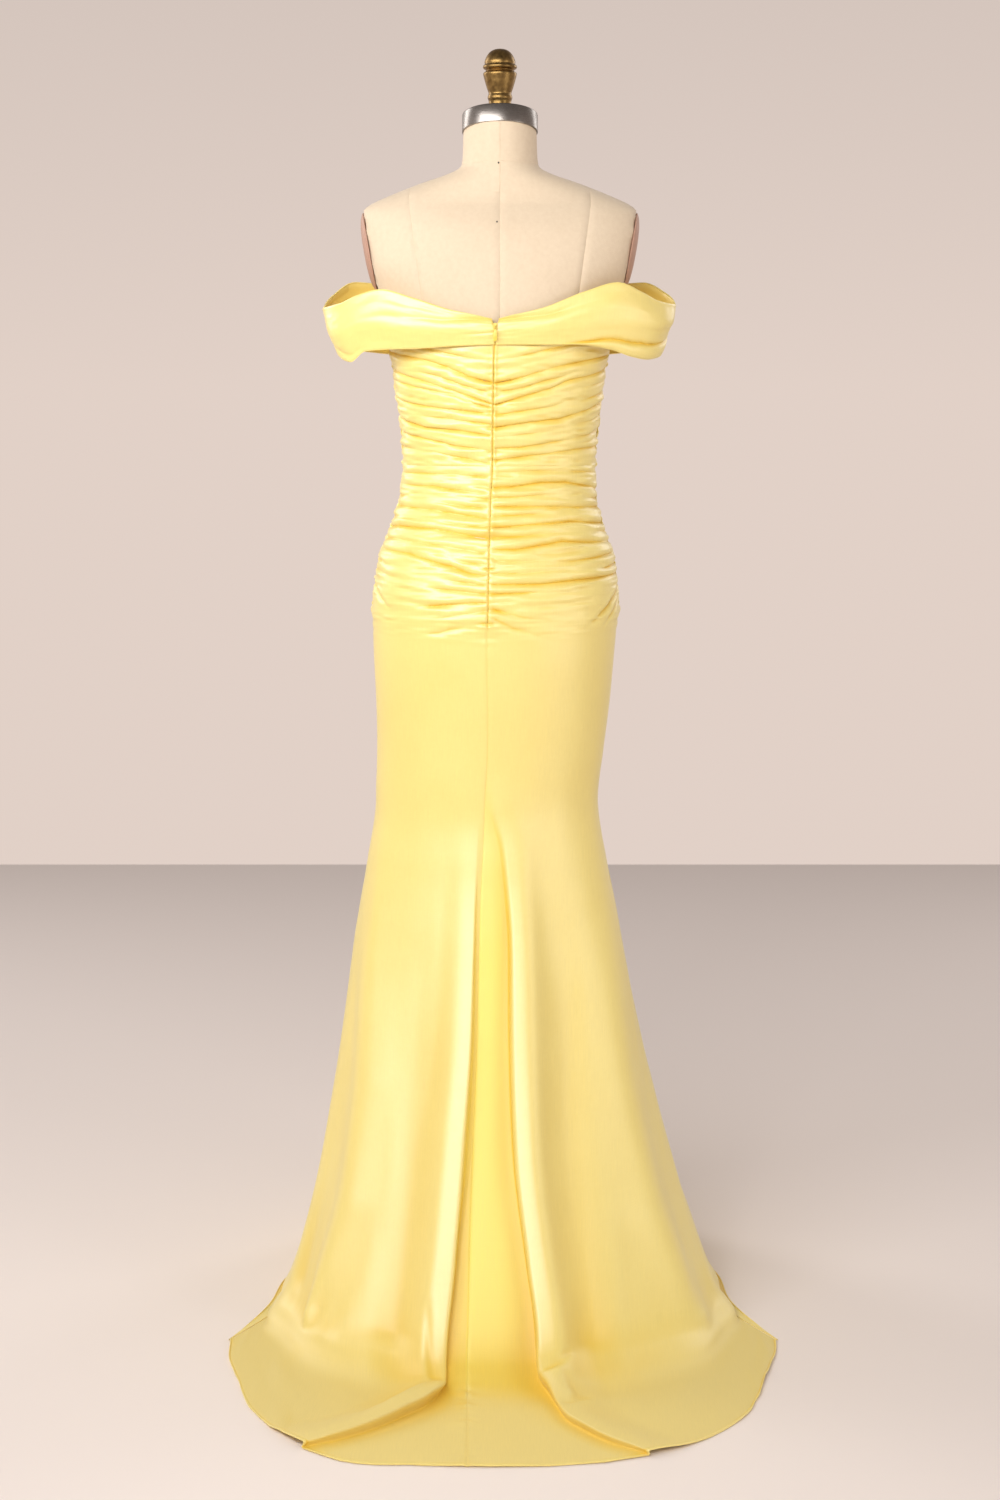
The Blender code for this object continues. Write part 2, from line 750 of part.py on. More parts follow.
BAND_CLEAR = CLOTH + GATHER_RISE + SEAM_GAP + CLOTH
BAND_LEVELS = (1.0, 0.90, 0.74, 0.54, 0.36, 0.25, 0.16, 0.0)


def band_swell(level, along, front):
    """How far the band's face stands out between its edges: one roll above, a smaller below."""
    upper = math.sin(math.pi * smoothstep((level - 0.25) / 0.75)) ** 0.8
    lower = math.sin(math.pi * min(level / 0.25, 1.0))
    free = smoothstep(along / 0.5) if not front else 1.0
    return BAND_BULGE * (0.35 + 0.65 * free) * (upper + 0.45 * lower * free)


def band_point(along, level, right, front):
    """Point of the band's outer face. Along runs from the centre back to the outer arm,
    or from the outer arm to the centre front. Level is 1 at the top edge."""
    table = (BAND_FRONT if front else BAND_BACK).at(along)
    top = table.top_right if right else table.top_left
    bottom = table.bottom_right if right else table.bottom_left
    height = mix(bottom, top, level)
    torso = figure_section(min(max(height, 1.286), 1.374), BAND_CLEAR)
    outer = BAND_REACH - (0.018 if right else 0.026) * (1 - level) ** 1.5
    if front:
        deep = torso.front + bust(0.0, height, True)
        point, tangent = bezier(
            Vector((outer, 0.0)), Vector((outer, 0.075)),
            Vector((0.150, deep)), Vector((0.0, deep)), along,
        )
    else:
        point, tangent = bezier(
            Vector((0.0, -torso.back)), Vector((0.135, -torso.back)),
            Vector((outer, -0.070)), Vector((outer, 0.0)), along,
        )
    outward = Vector((tangent.y, -tangent.x)).normalized()
    point += outward * band_swell(level, along, front)
    if not front:
        notch = NOTCH_HALF * smoothstep((level - 0.55) / 0.45) * (1 - smoothstep(along / 0.06))
        seam = SEAM_LINE.at(WAIST - height).aside
        point.x += notch + (seam if right else -seam) * (1 - along) ** 4
    return Vector((point.x if right else -point.x, point.y, height))


def add_band():
    """Off-shoulder band: two backs split by the zip, one front across both arms."""
    steps = 14
    zip_edge = ZIP_GAP / 2 / 0.40
    arm_edge = ARM_GAP / 2 / 0.20
    for right, name in ((True, "band_back_right"), (False, "band_back_left")):
        shares = [mix(zip_edge, 1 - arm_edge, i / steps) for i in range(steps + 1)]
        ordered = shares if right else list(reversed(shares))
        cloth_panel(
            name, [[band_point(a, level, right, False) for a in ordered] for level in BAND_LEVELS]
        )
    shares = [mix(arm_edge, 1.0, i / steps) for i in range(steps + 1)]
    rows = []
    for level in BAND_LEVELS:
        row = [band_point(a, level, True, True) for a in shares]
        row += [band_point(a, level, False, True) for a in reversed(shares[:-1])]
        rows.append(row)
    cloth_panel("band_front", rows)


def seam_place(down):
    """Place of the centre-back seam line in plan."""
    turn = SEAM_LINE.at(down).aside / quarter_length(down) % 4
    return ring_point(dress_section(down), turn, height_of(down))[0]


def add_zip():
    """Chain in the centre-back gap, with a slider and a hinged pull at its top."""
    half = CHAIN_WIDTH / 2
    depth = 0.0011
    top, bottom, steps = 1.326, ZIP_END + 0.016, 26
    rows = []
    for i in range(steps + 1):
        height = mix(top, bottom, i / steps)
        x, outer_y = seam_place(WAIST - height)
        rows.append(
            [
                Vector((x - half, outer_y + SEAM_GAP, height)),
                Vector((x + half, outer_y + SEAM_GAP, height)),
                Vector((x + half, outer_y + SEAM_GAP + depth, height)),
                Vector((x - half, outer_y + SEAM_GAP + depth, height)),
            ]
        )
    new_object("zip_chain", loft(rows, closed=True), ZIP_YELLOW, smooth=False)

    seam_x = seam_place(WAIST - PIVOT_HEIGHT)[0]
    face = min(band_point(0.01, 0.75, side, False).y for side in (True, False)) - SEAM_GAP / 2
    slider = bmesh.new()
    bmesh.ops.create_cube(slider, size=1.0)
    bmesh.ops.scale(slider, vec=SLIDER_SIZE, verts=slider.verts)
    bmesh.ops.bevel(
        slider, geom=slider.edges, offset=0.0006, segments=2, affect="EDGES", profile=0.5
    )
    body = new_object("zip_slider", slider, ZIP_YELLOW)
    body.location = (seam_x, face - SLIDER_SIZE[1] / 2, PIVOT_HEIGHT + 0.0010)

    front = face - SLIDER_SIZE[1]
    pivot = Vector((seam_x, front - SEAM_GAP - PULL_THICK / 2, PIVOT_HEIGHT))
    new_object("zip_bridge", bridge_shape(pivot, front - SEAM_GAP), ZIP_YELLOW)
    new_object("zip_pull", pull_shape(pivot), ZIP_YELLOW, smooth=False)


def bridge_shape(pivot, foot):
    """Small arch on the slider, around the bar at the top of the pull."""
    path = [(foot - pivot.y, 1.0, 0.0)]
    path += [
        (0.0, math.cos(math.pi * i / BRIDGE_STEPS), math.sin(math.pi * i / BRIDGE_STEPS))
        for i in range(BRIDGE_STEPS + 1)
    ]
    path.append((foot - pivot.y, -1.0, 0.0))
    rows = []
    for deep, up, out in path:
        row = []
        for side, radius in BRIDGE_CORNERS:
            offset = Vector((side * BRIDGE_HALF, deep - out * radius, up * radius))
            row.append(pivot + offset)
        rows.append(row)
    return loft(rows, closed=True)


def pull_shape(pivot):
    """Flat teardrop with an eye at its top, hanging from the pivot."""
    bm = bmesh.new()
    right = PULL_OUTLINE
    left = [(oz, -oh, ez, -eh) for oz, oh, ez, eh in reversed(PULL_OUTLINE[1:-1])]
    rings = []
    for deep in (-PULL_THICK / 2, PULL_THICK / 2):
        outer, eye = [], []
        for outer_height, outer_half, eye_height, eye_half in right + left:
            outer.append(bm.verts.new(pivot + Vector((outer_half, deep, outer_height))))
            eye.append(bm.verts.new(pivot + Vector((eye_half, deep, eye_height))))
        rings.append((outer, eye))
    (near_outer, near_eye), (far_outer, far_eye) = rings
    count = len(near_outer)
    for i in range(count):
        j = (i + 1) % count
        bm.faces.new((near_outer[i], near_eye[i], near_eye[j], near_outer[j]))
        bm.faces.new((far_outer[j], far_eye[j], far_eye[i], far_outer[i]))
        bm.faces.new((near_outer[j], far_outer[j], far_outer[i], near_outer[i]))
        bm.faces.new((near_eye[i], far_eye[i], far_eye[j], near_eye[j]))
    bmesh.ops.recalc_face_normals(bm, faces=bm.faces)
    return bm


def add_form():
    """Torso with neck, arm plates, neck band and finial."""
    rows = []
    for height in reversed(FORM_ROWS):
        section = figure_section(height, -EASE)
        row = []
        for i in range(AROUND):
            point = ring_point(section, 4 * i / AROUND, height, bridged=False)[0]
            reach = armhole(height)
            rise = neck_rise(point.y) * smoothstep((height - SLANT_START) / (FORM_TOP - SLANT_START))
            row.append(Vector((min(max(point.x, -reach), reach), point.y, height + rise)))
        rows.append(row)
    new_object("form_torso", loft(rows, closed=True), LINEN)

    lean = math.atan2(ARMHOLE_TOP[1] - ARMHOLE_LOW[1], ARMHOLE_TOP[0] - ARMHOLE_LOW[0])
    for side, name in ((1, "form_arm_plate_right"), (-1, "form_arm_plate_left")):
        plate = bmesh.new()
        bmesh.ops.create_cone(
            plate, cap_ends=True, segments=ROUND_STEPS, radius1=1.0, radius2=1.0, depth=1.0
        )
        bmesh.ops.scale(plate, vec=(PLATE_TALL, PLATE_WIDE, PLATE_THICK), verts=plate.verts)
        obj = new_object(name, plate, PLATE, smooth=False)
        away = SEAM_GAP + PLATE_THICK / 2
        obj.matrix_world = (
            Matrix.Translation(
                (
                    side * (armhole(PLATE_HEIGHT) + away * math.cos(lean)),
                    PLATE_FORWARD,
                    PLATE_HEIGHT - away * math.sin(lean),
                )
            )
            @ Matrix.Rotation(side * (math.pi / 2 + lean), 4, "Y")
        )
        bevel = obj.modifiers.new("Edge", "BEVEL")
        bevel.width = 0.0012
        bevel.segments = 1
        bevel.limit_method = "ANGLE"

    neck = turned(
        "form_neck_band",
        [
            (0.0, CAP_HEIGHT), (0.040, CAP_HEIGHT), (0.0490, CAP_HEIGHT - 0.0015),
            (0.0510, CAP_HEIGHT - 0.004), (0.0510, SEAM_GAP), (0.0, SEAM_GAP),
        ],
        STEEL,
        AROUND,
    )
    neck.scale = (1.0, 0.95, 1.0)
    neck.rotation_euler.x = -math.atan(NECK_SLANT)
    neck.location = (0.0, NECK_AXIS, FORM_TOP)

    foot = FORM_TOP + (CAP_HEIGHT + SEAM_GAP) * math.hypot(1.0, NECK_SLANT)
    finial = turned("form_finial", [(radius, foot + up) for radius, up in FINIAL], BRASS)
    finial.location = (0.0, NECK_AXIS, 0.0)
    bpy.context.view_layer.objects.active = finial
    bpy.ops.object.modifier_apply(modifier="Turn")
    for vertex in finial.data.vertices:
        near_foot = 1 - smoothstep((vertex.co.z - foot) / FINIAL_SEAT)
        vertex.co.z -= NECK_SLANT * vertex.co.y * near_foot


def add_stand():
    """Plain pole and round base under the form, hidden by the skirt."""
    turned(
        "stand_base",
        [
            (0.0, HUB_HEIGHT), (HUB_RADIUS - 0.004, HUB_HEIGHT), (HUB_RADIUS, HUB_HEIGHT - 0.004),
            (HUB_RADIUS + 0.004, BASE_EDGE + 0.012), (HUB_RADIUS + 0.020, BASE_EDGE + 0.004),
            (BASE_RADIUS - 0.004, BASE_EDGE), (BASE_RADIUS, BASE_EDGE - 0.004),
            (BASE_RADIUS, 0.0), (0.0, 0.0),
        ],
        IRON,
        36,
    )
    low, high = HUB_HEIGHT + SEAM_GAP, FORM_BOTTOM - SEAM_GAP
    turned(
        "stand_pole",
        [(0.0, high), (POLE_RADIUS, high), (POLE_RADIUS, low), (0.0, low)],
        STEEL,
    )


def main():
    for obj in list(bpy.data.objects):
        bpy.data.objects.remove(obj)
    collection = bpy.data.collections.new(PART_NAME)
    bpy.context.scene.collection.children.link(collection)
    add_form()
    add_stand()
    add_bodice()
    add_skirt()
    add_band()
    add_zip()


main()
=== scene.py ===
"""Looks of the off-shoulder satin maxi dress on its limbless dress form.

Metres, +Z up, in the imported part's own frame: the origin is on the floor under the
form's pole, +Y points to the garment's front and +X to the wearer's right.
"""

import math
from functools import lru_cache
from types import SimpleNamespace

import bpy
import numpy as np
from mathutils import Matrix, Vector


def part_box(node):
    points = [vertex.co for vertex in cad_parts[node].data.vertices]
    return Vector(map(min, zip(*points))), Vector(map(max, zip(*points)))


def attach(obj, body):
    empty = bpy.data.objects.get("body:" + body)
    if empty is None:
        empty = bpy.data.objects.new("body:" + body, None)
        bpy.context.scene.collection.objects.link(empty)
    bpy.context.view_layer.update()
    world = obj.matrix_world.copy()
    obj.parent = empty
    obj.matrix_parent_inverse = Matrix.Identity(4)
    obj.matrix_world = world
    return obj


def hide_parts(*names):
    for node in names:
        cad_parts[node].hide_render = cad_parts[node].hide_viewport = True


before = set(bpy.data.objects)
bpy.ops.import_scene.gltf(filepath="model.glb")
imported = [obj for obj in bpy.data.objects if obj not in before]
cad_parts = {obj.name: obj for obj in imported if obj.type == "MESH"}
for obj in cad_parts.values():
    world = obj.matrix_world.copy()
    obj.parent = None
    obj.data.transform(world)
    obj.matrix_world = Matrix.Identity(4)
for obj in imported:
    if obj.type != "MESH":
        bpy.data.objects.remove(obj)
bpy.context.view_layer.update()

DRESS = "dress_and_form"
PULL = "pull"

# Sizes of the dress and form, as in the part's source: distances from the waist seam down
# along the cloth have "down" in their names, and heights are above the floor
CLOTH = 0.0016
WAIST = 1.145
ZIP_END = 0.935
EASE = 0.0032
BUST = SimpleNamespace(height=1.275, apart=0.085, rise=0.020, width=0.045, tall=0.055)
FOLD_WIDTH = 0.012
FOLD_FADE = 6.0
BAND_BULGE = 0.0075
BAND_CLEAR = CLOTH + 0.0026 + 0.0003 + CLOTH
NOTCH_HALF = 0.0038
TIP_BACK = 0.030
TIP_SWING = -0.003
LEFT_CORNER = (0.018, 0.33, 0.13)
FRONT_SPREAD = 0.016
SIDE_SPREAD = 0.005
CORNER_PULL = 30
HEM_DOWN = 1.375
NECK_AXIS = -0.004
NECK_SLANT = 0.23
SLANT_START = 1.545
FORM_TOP = 1.588
FORM_BOTTOM = 0.80
CAP_HEIGHT = 0.0245
CURVE_STEPS = 24

# Half of the gap at the zip, at the seam below it and at the side seams
ZIP_HALF = 0.00010
SEAM_HALF = 0.00004
SIDE_HALF = 0.00010

# Depth and half width of the grooves at the waist seam and at the side seams
WAIST_GROOVE = (0.0004, 0.0012)
SIDE_GROOVE = (0.0009, 0.0014)

# Raised edge beside the zip: its rise, and its distance from the seam and half width
ZIP_LIP = 0.0008
ZIP_LIP_PLACE = (0.0026, 0.0016)

# Groove at the centre back: its depth at the zip, at the seam below it and added on the floor,
# and its half width
ZIP_GROOVE = 0.0014
SEAM_GROOVE = 0.0006
FLOOR_GROOVE = 0.0008
SEAM_GROOVE_HALF = 0.0012

# Distance between the rows of the ruched back bodice, front bodice and hip
BACK_STEP = 0.0013
FRONT_STEP = 0.0014
HIP_STEP = 0.0014

# Height at which the hip's gathers end, and the height over which they grow
RUCHED_END = 0.900
RUCHED_SPAN = 0.045

# How far gathers droop over those below them, and the distance from the waist seam over
# which they come to do so
DROOP_SHARE = 0.55
DROOP_SPAN = 0.004

# How softly the skirt bends onto the floor, the distance over which it comes to lie, and the
# rise and half length of its swell at the bend
FLOOR_BEND = 0.014
LYING_SPAN = 0.03
BEND_SWELL = (0.0075, 0.030)

# The roll along each deep fold, where the cloth hangs and where it lies: its share of the
# fold's rise, its distance from the crest and its half width
HANGING_ROLL = (0.42, 0.020, 0.017)
LYING_ROLL = (0.45, 0.0055, 0.0042)

# Where cloth counts as closed in, and gets painted crease shade: steps along the grid that are
# looked at, and the mean rise of the cloth around a place at which the painted shade starts,
# and over which it grows
CREASE_REACHES = (1, 2, 3, 5, 8, 12, 18, 26)
CREASE_START = 0.06
CREASE_SPAN = 0.34

# Shade of the cloth's inner face, and the width of its edge that stays light
INSIDE_SHADE = 0.50
LIGHT_EDGE = 0.012

# Angle in degrees under which the cloth's faces are shaded as one
CLOTH_ANGLE = 55


class Sections:
    """A table of named columns, read smoothly and without overshoot between its rows."""

    def __init__(self, columns, rows):
        self.names = columns.split()[1:]
        self.keys = [row[0] for row in rows]
        self.values = [[row[i + 1] for row in rows] for i in range(len(self.names))]
        self.slopes = [self.even_slopes(column) for column in self.values]

    def even_slopes(self, column):
        """Slope of a column at each row, level where the column turns back."""
        rates = [
            (b - a) / (k1 - k0)
            for a, b, k0, k1 in zip(column, column[1:], self.keys, self.keys[1:])
        ]
        inner = [2 * a * b / (a + b) if a * b > 0 else 0.0 for a, b in zip(rates, rates[1:])]
        return [rates[0], *inner, rates[-1]]

    @lru_cache(maxsize=None)
    def at(self, key):
        """Every column's value at a key."""
        key = min(max(key, self.keys[0]), self.keys[-1])
        i = max(n for n in range(len(self.keys) - 1) if key >= self.keys[n] or n == 0)
        step = self.keys[i + 1] - self.keys[i]
        t = (key - self.keys[i]) / step
        found = [
            column[i] * (1 + 2 * t) * (1 - t) ** 2
            + column[i + 1] * t * t * (3 - 2 * t)
            + step * slope[i] * t * (1 - t) ** 2
            - step * slope[i + 1] * t * t * (1 - t)
            for column, slope in zip(self.values, self.slopes)
        ]
        return SimpleNamespace(**dict(zip(self.names, found)))


# The figure at each height: half width, distance behind and before its axis, shift to the
# right, and how square its section is
FIGURE = Sections("height half back front centre square", [
    (0.800, 0.151, 0.108, 0.096, -0.008, 0.57),
    (0.860, 0.160, 0.114, 0.102, -0.007, 0.57),
    (0.950, 0.1680, 0.122, 0.108, -0.006, 0.57),
    (1.013, 0.1610, 0.114, 0.110, -0.005, 0.57),
    (1.060, 0.1450, 0.100, 0.107, -0.004, 0.56),
    (1.100, 0.1335, 0.089, 0.102, -0.003, 0.55),
    (1.145, 0.1295, 0.085, 0.098, -0.001, 0.55),
    (1.190, 0.1325, 0.089, 0.106, -0.001, 0.56),
    (1.240, 0.1385, 0.095, 0.118, -0.001, 0.58),
    (1.290, 0.1455, 0.100, 0.124, -0.001, 0.60),
    (1.340, 0.158, 0.104, 0.113, 0.000, 0.62),
    (1.374, 0.168, 0.104, 0.100, 0.000, 0.64),
    (1.400, 0.183, 0.103, 0.091, 0.000, 0.62),
    (1.430, 0.193, 0.097, 0.079, 0.000, 0.62),
    (1.458, 0.197, 0.088, 0.067, 0.000, 0.62),
    (1.482, 0.192, 0.074, 0.054, 0.000, 0.64),
    (1.492, 0.180, 0.067, 0.048, 0.000, 0.64),
    (1.507, 0.147, 0.062, 0.045, 0.000, 0.60),
    (1.522, 0.108, 0.059, 0.044, 0.000, 0.56),
    (1.534, 0.072, 0.057, 0.044, 0.000, 0.55),
    (1.543, 0.0560, 0.056, 0.045, 0.000, 0.55),
    (1.556, 0.0535, 0.055, 0.046, 0.000, 0.55),
    (1.588, 0.0525, 0.052, 0.044, 0.000, 0.55),
])
ARMHOLE_TOP = (1.483, 0.1835)
ARMHOLE_LOW = (1.374, 0.1645)

# The skirt below the hip, by distance down: as the figure, with the place of the side seam,
# how flat the back is, and how far the hem's tip is drawn in
SKIRT_COLUMNS = "down half back front side centre square flat tip"
SKIRT_LOW_ROWS = [
    (0.245, 0.1680, 0.1235, 0.1110, 0.000, -0.008, 0.57, 0.57, 0.0),
    (0.325, 0.1630, 0.1180, 0.1090, 0.000, -0.010, 0.57, 0.57, 0.0),
    (0.395, 0.1585, 0.1120, 0.1070, 0.000, -0.014, 0.57, 0.57, 0.0),
    (0.465, 0.1560, 0.1100, 0.1070, -0.002, -0.019, 0.57, 0.57, 0.0),
    (0.545, 0.1670, 0.1230, 0.1130, -0.008, -0.019, 0.57, 0.57, 0.0),
    (0.645, 0.1850, 0.1520, 0.1280, -0.020, -0.017, 0.57, 0.57, 0.0),
    (0.759, 0.2035, 0.1960, 0.1500, -0.038, -0.013, 0.57, 0.57, 0.0),
    (0.875, 0.2240, 0.2500, 0.1720, -0.062, -0.008, 0.58, 0.58, 0.0),
    (0.985, 0.2470, 0.3120, 0.1940, -0.096, -0.003, 0.59, 0.60, 0.0),
    (1.075, 0.2730, 0.3720, 0.2110, -0.136, 0.001, 0.60, 0.61, 0.0),
    (1.125, 0.2900, 0.4100, 0.2210, -0.168, 0.002, 0.60, 0.62, 0.00),
    (1.145, 0.2990, 0.4320, 0.2270, -0.188, 0.003, 0.60, 0.62, 0.00),
    (1.375, 0.3590, 0.6590, 0.2700, -0.294, 0.004, 0.535, 0.82, 1.00),
]

# Place of the centre-back seam to the right of the middle
SEAM_LINE = Sections("down aside", [
    (-0.200, -0.006),
    (0.000, -0.009),
    (0.212, -0.010),
    (0.450, -0.002),
    (0.600, -0.009),
    (0.760, -0.018),
    (0.900, -0.030),
    (1.050, -0.041),
    (1.145, -0.044),
    (1.375, -0.042),
])

# The two deep folds beside the centre back: distance of each crest from the seam, how far it
# stands out, how far the cloth between them falls back, how far each leans over, and how
# high each stands where it lies on the floor
BACK_FOLDS = Sections((
    "down crest_left crest_right rise_left rise_right sink "
    "lean_left lean_right lift_left lift_right"
), [
    (0.000, 0.060, 0.060, 0.0, 0.0, 0.0, 0.0, 0.0, 0.0, 0.0),
    (0.200, 0.062, 0.066, 0.0, 0.0, 0.0, 0.0, 0.0, 0.0, 0.0),
    (0.400, 0.006, 0.008, 0.0, 0.0, 0.0, 0.0, 0.0, 0.0, 0.0),
    (0.460, 0.007, 0.015, 0.0, 0.003, 0.0, 0.0, 0.0005, 0.0, 0.0),
    (0.520, 0.008, 0.031, 0.0015, 0.006, 0.0, 0.0010, 0.0015, 0.0, 0.0),
    (0.640, 0.009, 0.046, 0.0055, 0.011, 0.002, 0.0025, 0.0030, 0.0, 0.0),
    (0.760, 0.010, 0.050, 0.0105, 0.015, 0.004, 0.0035, 0.0035, 0.0, 0.0),
    (0.900, 0.014, 0.061, 0.015, 0.017, 0.006, 0.0045, 0.0040, 0.0, 0.0),
    (1.020, 0.021, 0.081, 0.015, 0.017, 0.006, 0.0050, 0.0045, 0.0, 0.0),
    (1.100, 0.030, 0.093, 0.014, 0.017, 0.004, 0.0055, 0.0050, 0.0, 0.007),
    (1.145, 0.032, 0.095, 0.012, 0.014, 0.001, 0.0060, 0.0055, 0.003, 0.016),
    (1.160, 0.033, 0.099, 0.010, 0.010, 0.0, 0.0070, 0.0055, 0.008, 0.019),
    (1.175, 0.036, 0.105, 0.006, 0.006, 0.0, 0.0080, 0.0060, 0.013, 0.018),
    (1.220, 0.055, 0.1165, 0.0, 0.0, 0.0, 0.0085, 0.0060, 0.020, 0.011),
    (1.255, 0.083, 0.126, 0.0, 0.0, 0.0, 0.0080, 0.0060, 0.019, 0.012),
    (1.285, 0.109, 0.144, 0.0, 0.0, 0.0, 0.0075, 0.0060, 0.017, 0.012),
    (1.330, 0.155, 0.178, 0.0, 0.0, 0.0, 0.0070, 0.0055, 0.013, 0.010),
    (1.375, 0.203, 0.226, 0.0, 0.0, 0.0, 0.0060, 0.0050, 0.008, 0.006),
])

# Soft folds of the skirt: rise in millimetres, then distance down, share of the way to the
# side seam, and half width in millimetres. On the front the share is -1 at the left side seam
FREE_FOLDS_RIGHT = [
    (-5.0, ((0.46, 0.20, 34), (0.60, 0.36, 36), (0.70, 0.42, 34), (0.78, 0.41, 32),
            (0.85, 0.385, 30), (0.955, 0.37, 28), (1.055, 0.345, 26), (1.13, 0.34, 22))),
    (8.0, ((0.50, 0.78, 36), (0.705, 0.70, 38), (0.83, 0.655, 38), (0.975, 0.66, 40),
           (1.095, 0.72, 34), (1.14, 0.75, 26))),
    (-2.5, ((0.76, 0.90, 20), (0.92, 0.90, 24), (1.09, 0.92, 22))),
]
FREE_FOLDS_LEFT = [
    (10.0, ((0.46, 0.76, 26), (0.675, 0.67, 28), (0.83, 0.58, 30), (0.975, 0.56, 28),
            (1.055, 0.61, 23), (1.10, 0.635, 14), (1.132, 0.64, 9))),
    (-5.0, ((0.86, 0.80, 16), (1.00, 0.80, 18), (1.07, 0.81, 17), (1.105, 0.80, 14))),
    (-8.0, ((0.50, 0.32, 36), (0.84, 0.29, 38), (1.015, 0.27, 34), (1.12, 0.27, 26))),
    (-4.0, ((0.92, 0.40, 20), (1.04, 0.46, 20), (1.135, 0.54, 14))),
]

FREE_FOLDS_FRONT = [
    (12.0, ((0.44, -0.62, 30), (0.75, -0.50, 32), (1.00, -0.47, 34), (1.14, -0.48, 30))),
    (-9.0, ((0.48, -0.34, 28), (0.80, -0.26, 32), (1.00, -0.25, 34), (1.14, -0.27, 30))),
    (8.0, ((0.58, -0.06, 26), (0.80, -0.02, 30), (1.00, 0.02, 32), (1.14, 0.03, 30))),
    (-9.0, ((0.48, 0.30, 26), (0.80, 0.27, 30), (1.00, 0.25, 32), (1.14, 0.25, 30))),
    (12.0, ((0.42, 0.68, 30), (0.72, 0.53, 32), (1.00, 0.50, 34), (1.14, 0.50, 30))),
]

# Short creases where the deep folds turn onto the floor: rise and half width in millimetres,
# then distance down and distance from the centre-back seam of both ends
FLOOR_CREASES_RIGHT = [
    (4.0, 7.5, (1.155, 0.108), (1.215, 0.130)),
    (-2.4, 6.0, (1.156, 0.101), (1.120, 0.126)),
    (-1.8, 7.0, (1.228, 0.124), (1.205, 0.152)),
]
FLOOR_CREASES_LEFT = [
    (-2.4, 5.5, (1.070, 0.049), (1.160, 0.042)),
    (2.5, 6.0, (1.180, 0.052), (1.250, 0.098)),
    (-2.0, 9.0, (1.190, 0.080), (1.270, 0.135)),
]

# Soft flutes of the skirt: turn, width in turns, rise at the floor, distance down of its start
FLUTES = [
    (0.62, 0.10, 0.008, 0.70),
    (0.93, 0.08, 0.010, 0.75),
    (1.20, 0.13, 0.012, 0.66),
    (1.65, 0.12, 0.013, 0.60),
    (2.40, 0.12, 0.012, 0.62),
    (2.86, 0.12, 0.011, 0.70),
    (3.10, 0.08, 0.012, 0.66),
    (3.42, 0.11, 0.007, 0.72),
]

# Slant of the ruched rows: heights at the centre edge and at the side seam
BODICE_SLANT = [
    (1.333, 1.335), (1.309, 1.320), (1.285, 1.305), (1.256, 1.289), (1.230, 1.269),
    (1.212, 1.248), (1.194, 1.225), (1.176, 1.200), (1.160, 1.174), (1.14504, 1.14504),
]
HIP_SLANT = [
    (1.14496, 1.14496), (1.113, 1.112), (1.076, 1.076), (1.040, 1.044), (1.004, 1.017),
    (0.973, 0.991), (0.938, 0.965), (0.905, 0.905),
]

# Gathers of the back: depth and width in millimetres, fade at the zip end and at the side
# end in shares of the panel, then places as share of the way from the zip and height
BODICE_RIGHT = [
    (1.9, 4.0, 0.00, 0.30, ((0, 1.315), (0.3, 1.322), (0.6, 1.327), (1, 1.330))),
    (1.8, 3.6, 0.00, 0.25, ((0, 1.285), (0.16, 1.290), (0.32, 1.298), (0.5, 1.306), (1, 1.318))),
    (0.9, 3.0, 0.15, 0.25, ((0.05, 1.272), (0.25, 1.283), (0.46, 1.294), (0.6, 1.299))),
    (2.3, 4.2, 0.00, 0.10, ((0, 1.255), (0.21, 1.264), (0.37, 1.274), (0.57, 1.283), (1, 1.296))),
    (1.2, 3.2, 0.10, 0.20, ((0, 1.243), (0.2, 1.249), (0.36, 1.259), (0.6, 1.270))),
    (2.4, 4.2, 0.00, 0.05, ((0, 1.227), (0.21, 1.238), (0.39, 1.248), (0.52, 1.259), (1, 1.277))),
    (1.0, 3.0, 0.30, 0.00, ((0.5, 1.246), (0.75, 1.253), (1, 1.261))),
    (1.2, 3.2, 0.05, 0.30, ((0, 1.213), (0.2, 1.218), (0.4, 1.224), (0.6, 1.236))),
    (2.2, 4.2, 0.00, 0.05, ((0, 1.197), (0.27, 1.204), (0.48, 1.208), (0.66, 1.217), (1, 1.233))),
    (1.2, 3.0, 0.30, 0.00, ((0.55, 1.228), (0.78, 1.238), (1, 1.247))),
    (1.1, 3.2, 0.00, 0.25, ((0, 1.184), (0.2, 1.187), (0.5, 1.193))),
    (2.1, 3.8, 0.00, 0.05, ((0, 1.169), (0.19, 1.170), (0.42, 1.176), (0.69, 1.184), (1, 1.195))),
    (1.3, 3.0, 0.30, 0.00, ((0.55, 1.198), (0.8, 1.206), (1, 1.214))),
    (1.5, 3.4, 0.00, 0.05, ((0, 1.153), (0.33, 1.160), (0.64, 1.167), (1, 1.171))),
    (1.0, 2.8, 0.20, 0.00, ((0.6, 1.174), (0.8, 1.178), (1, 1.182))),
]
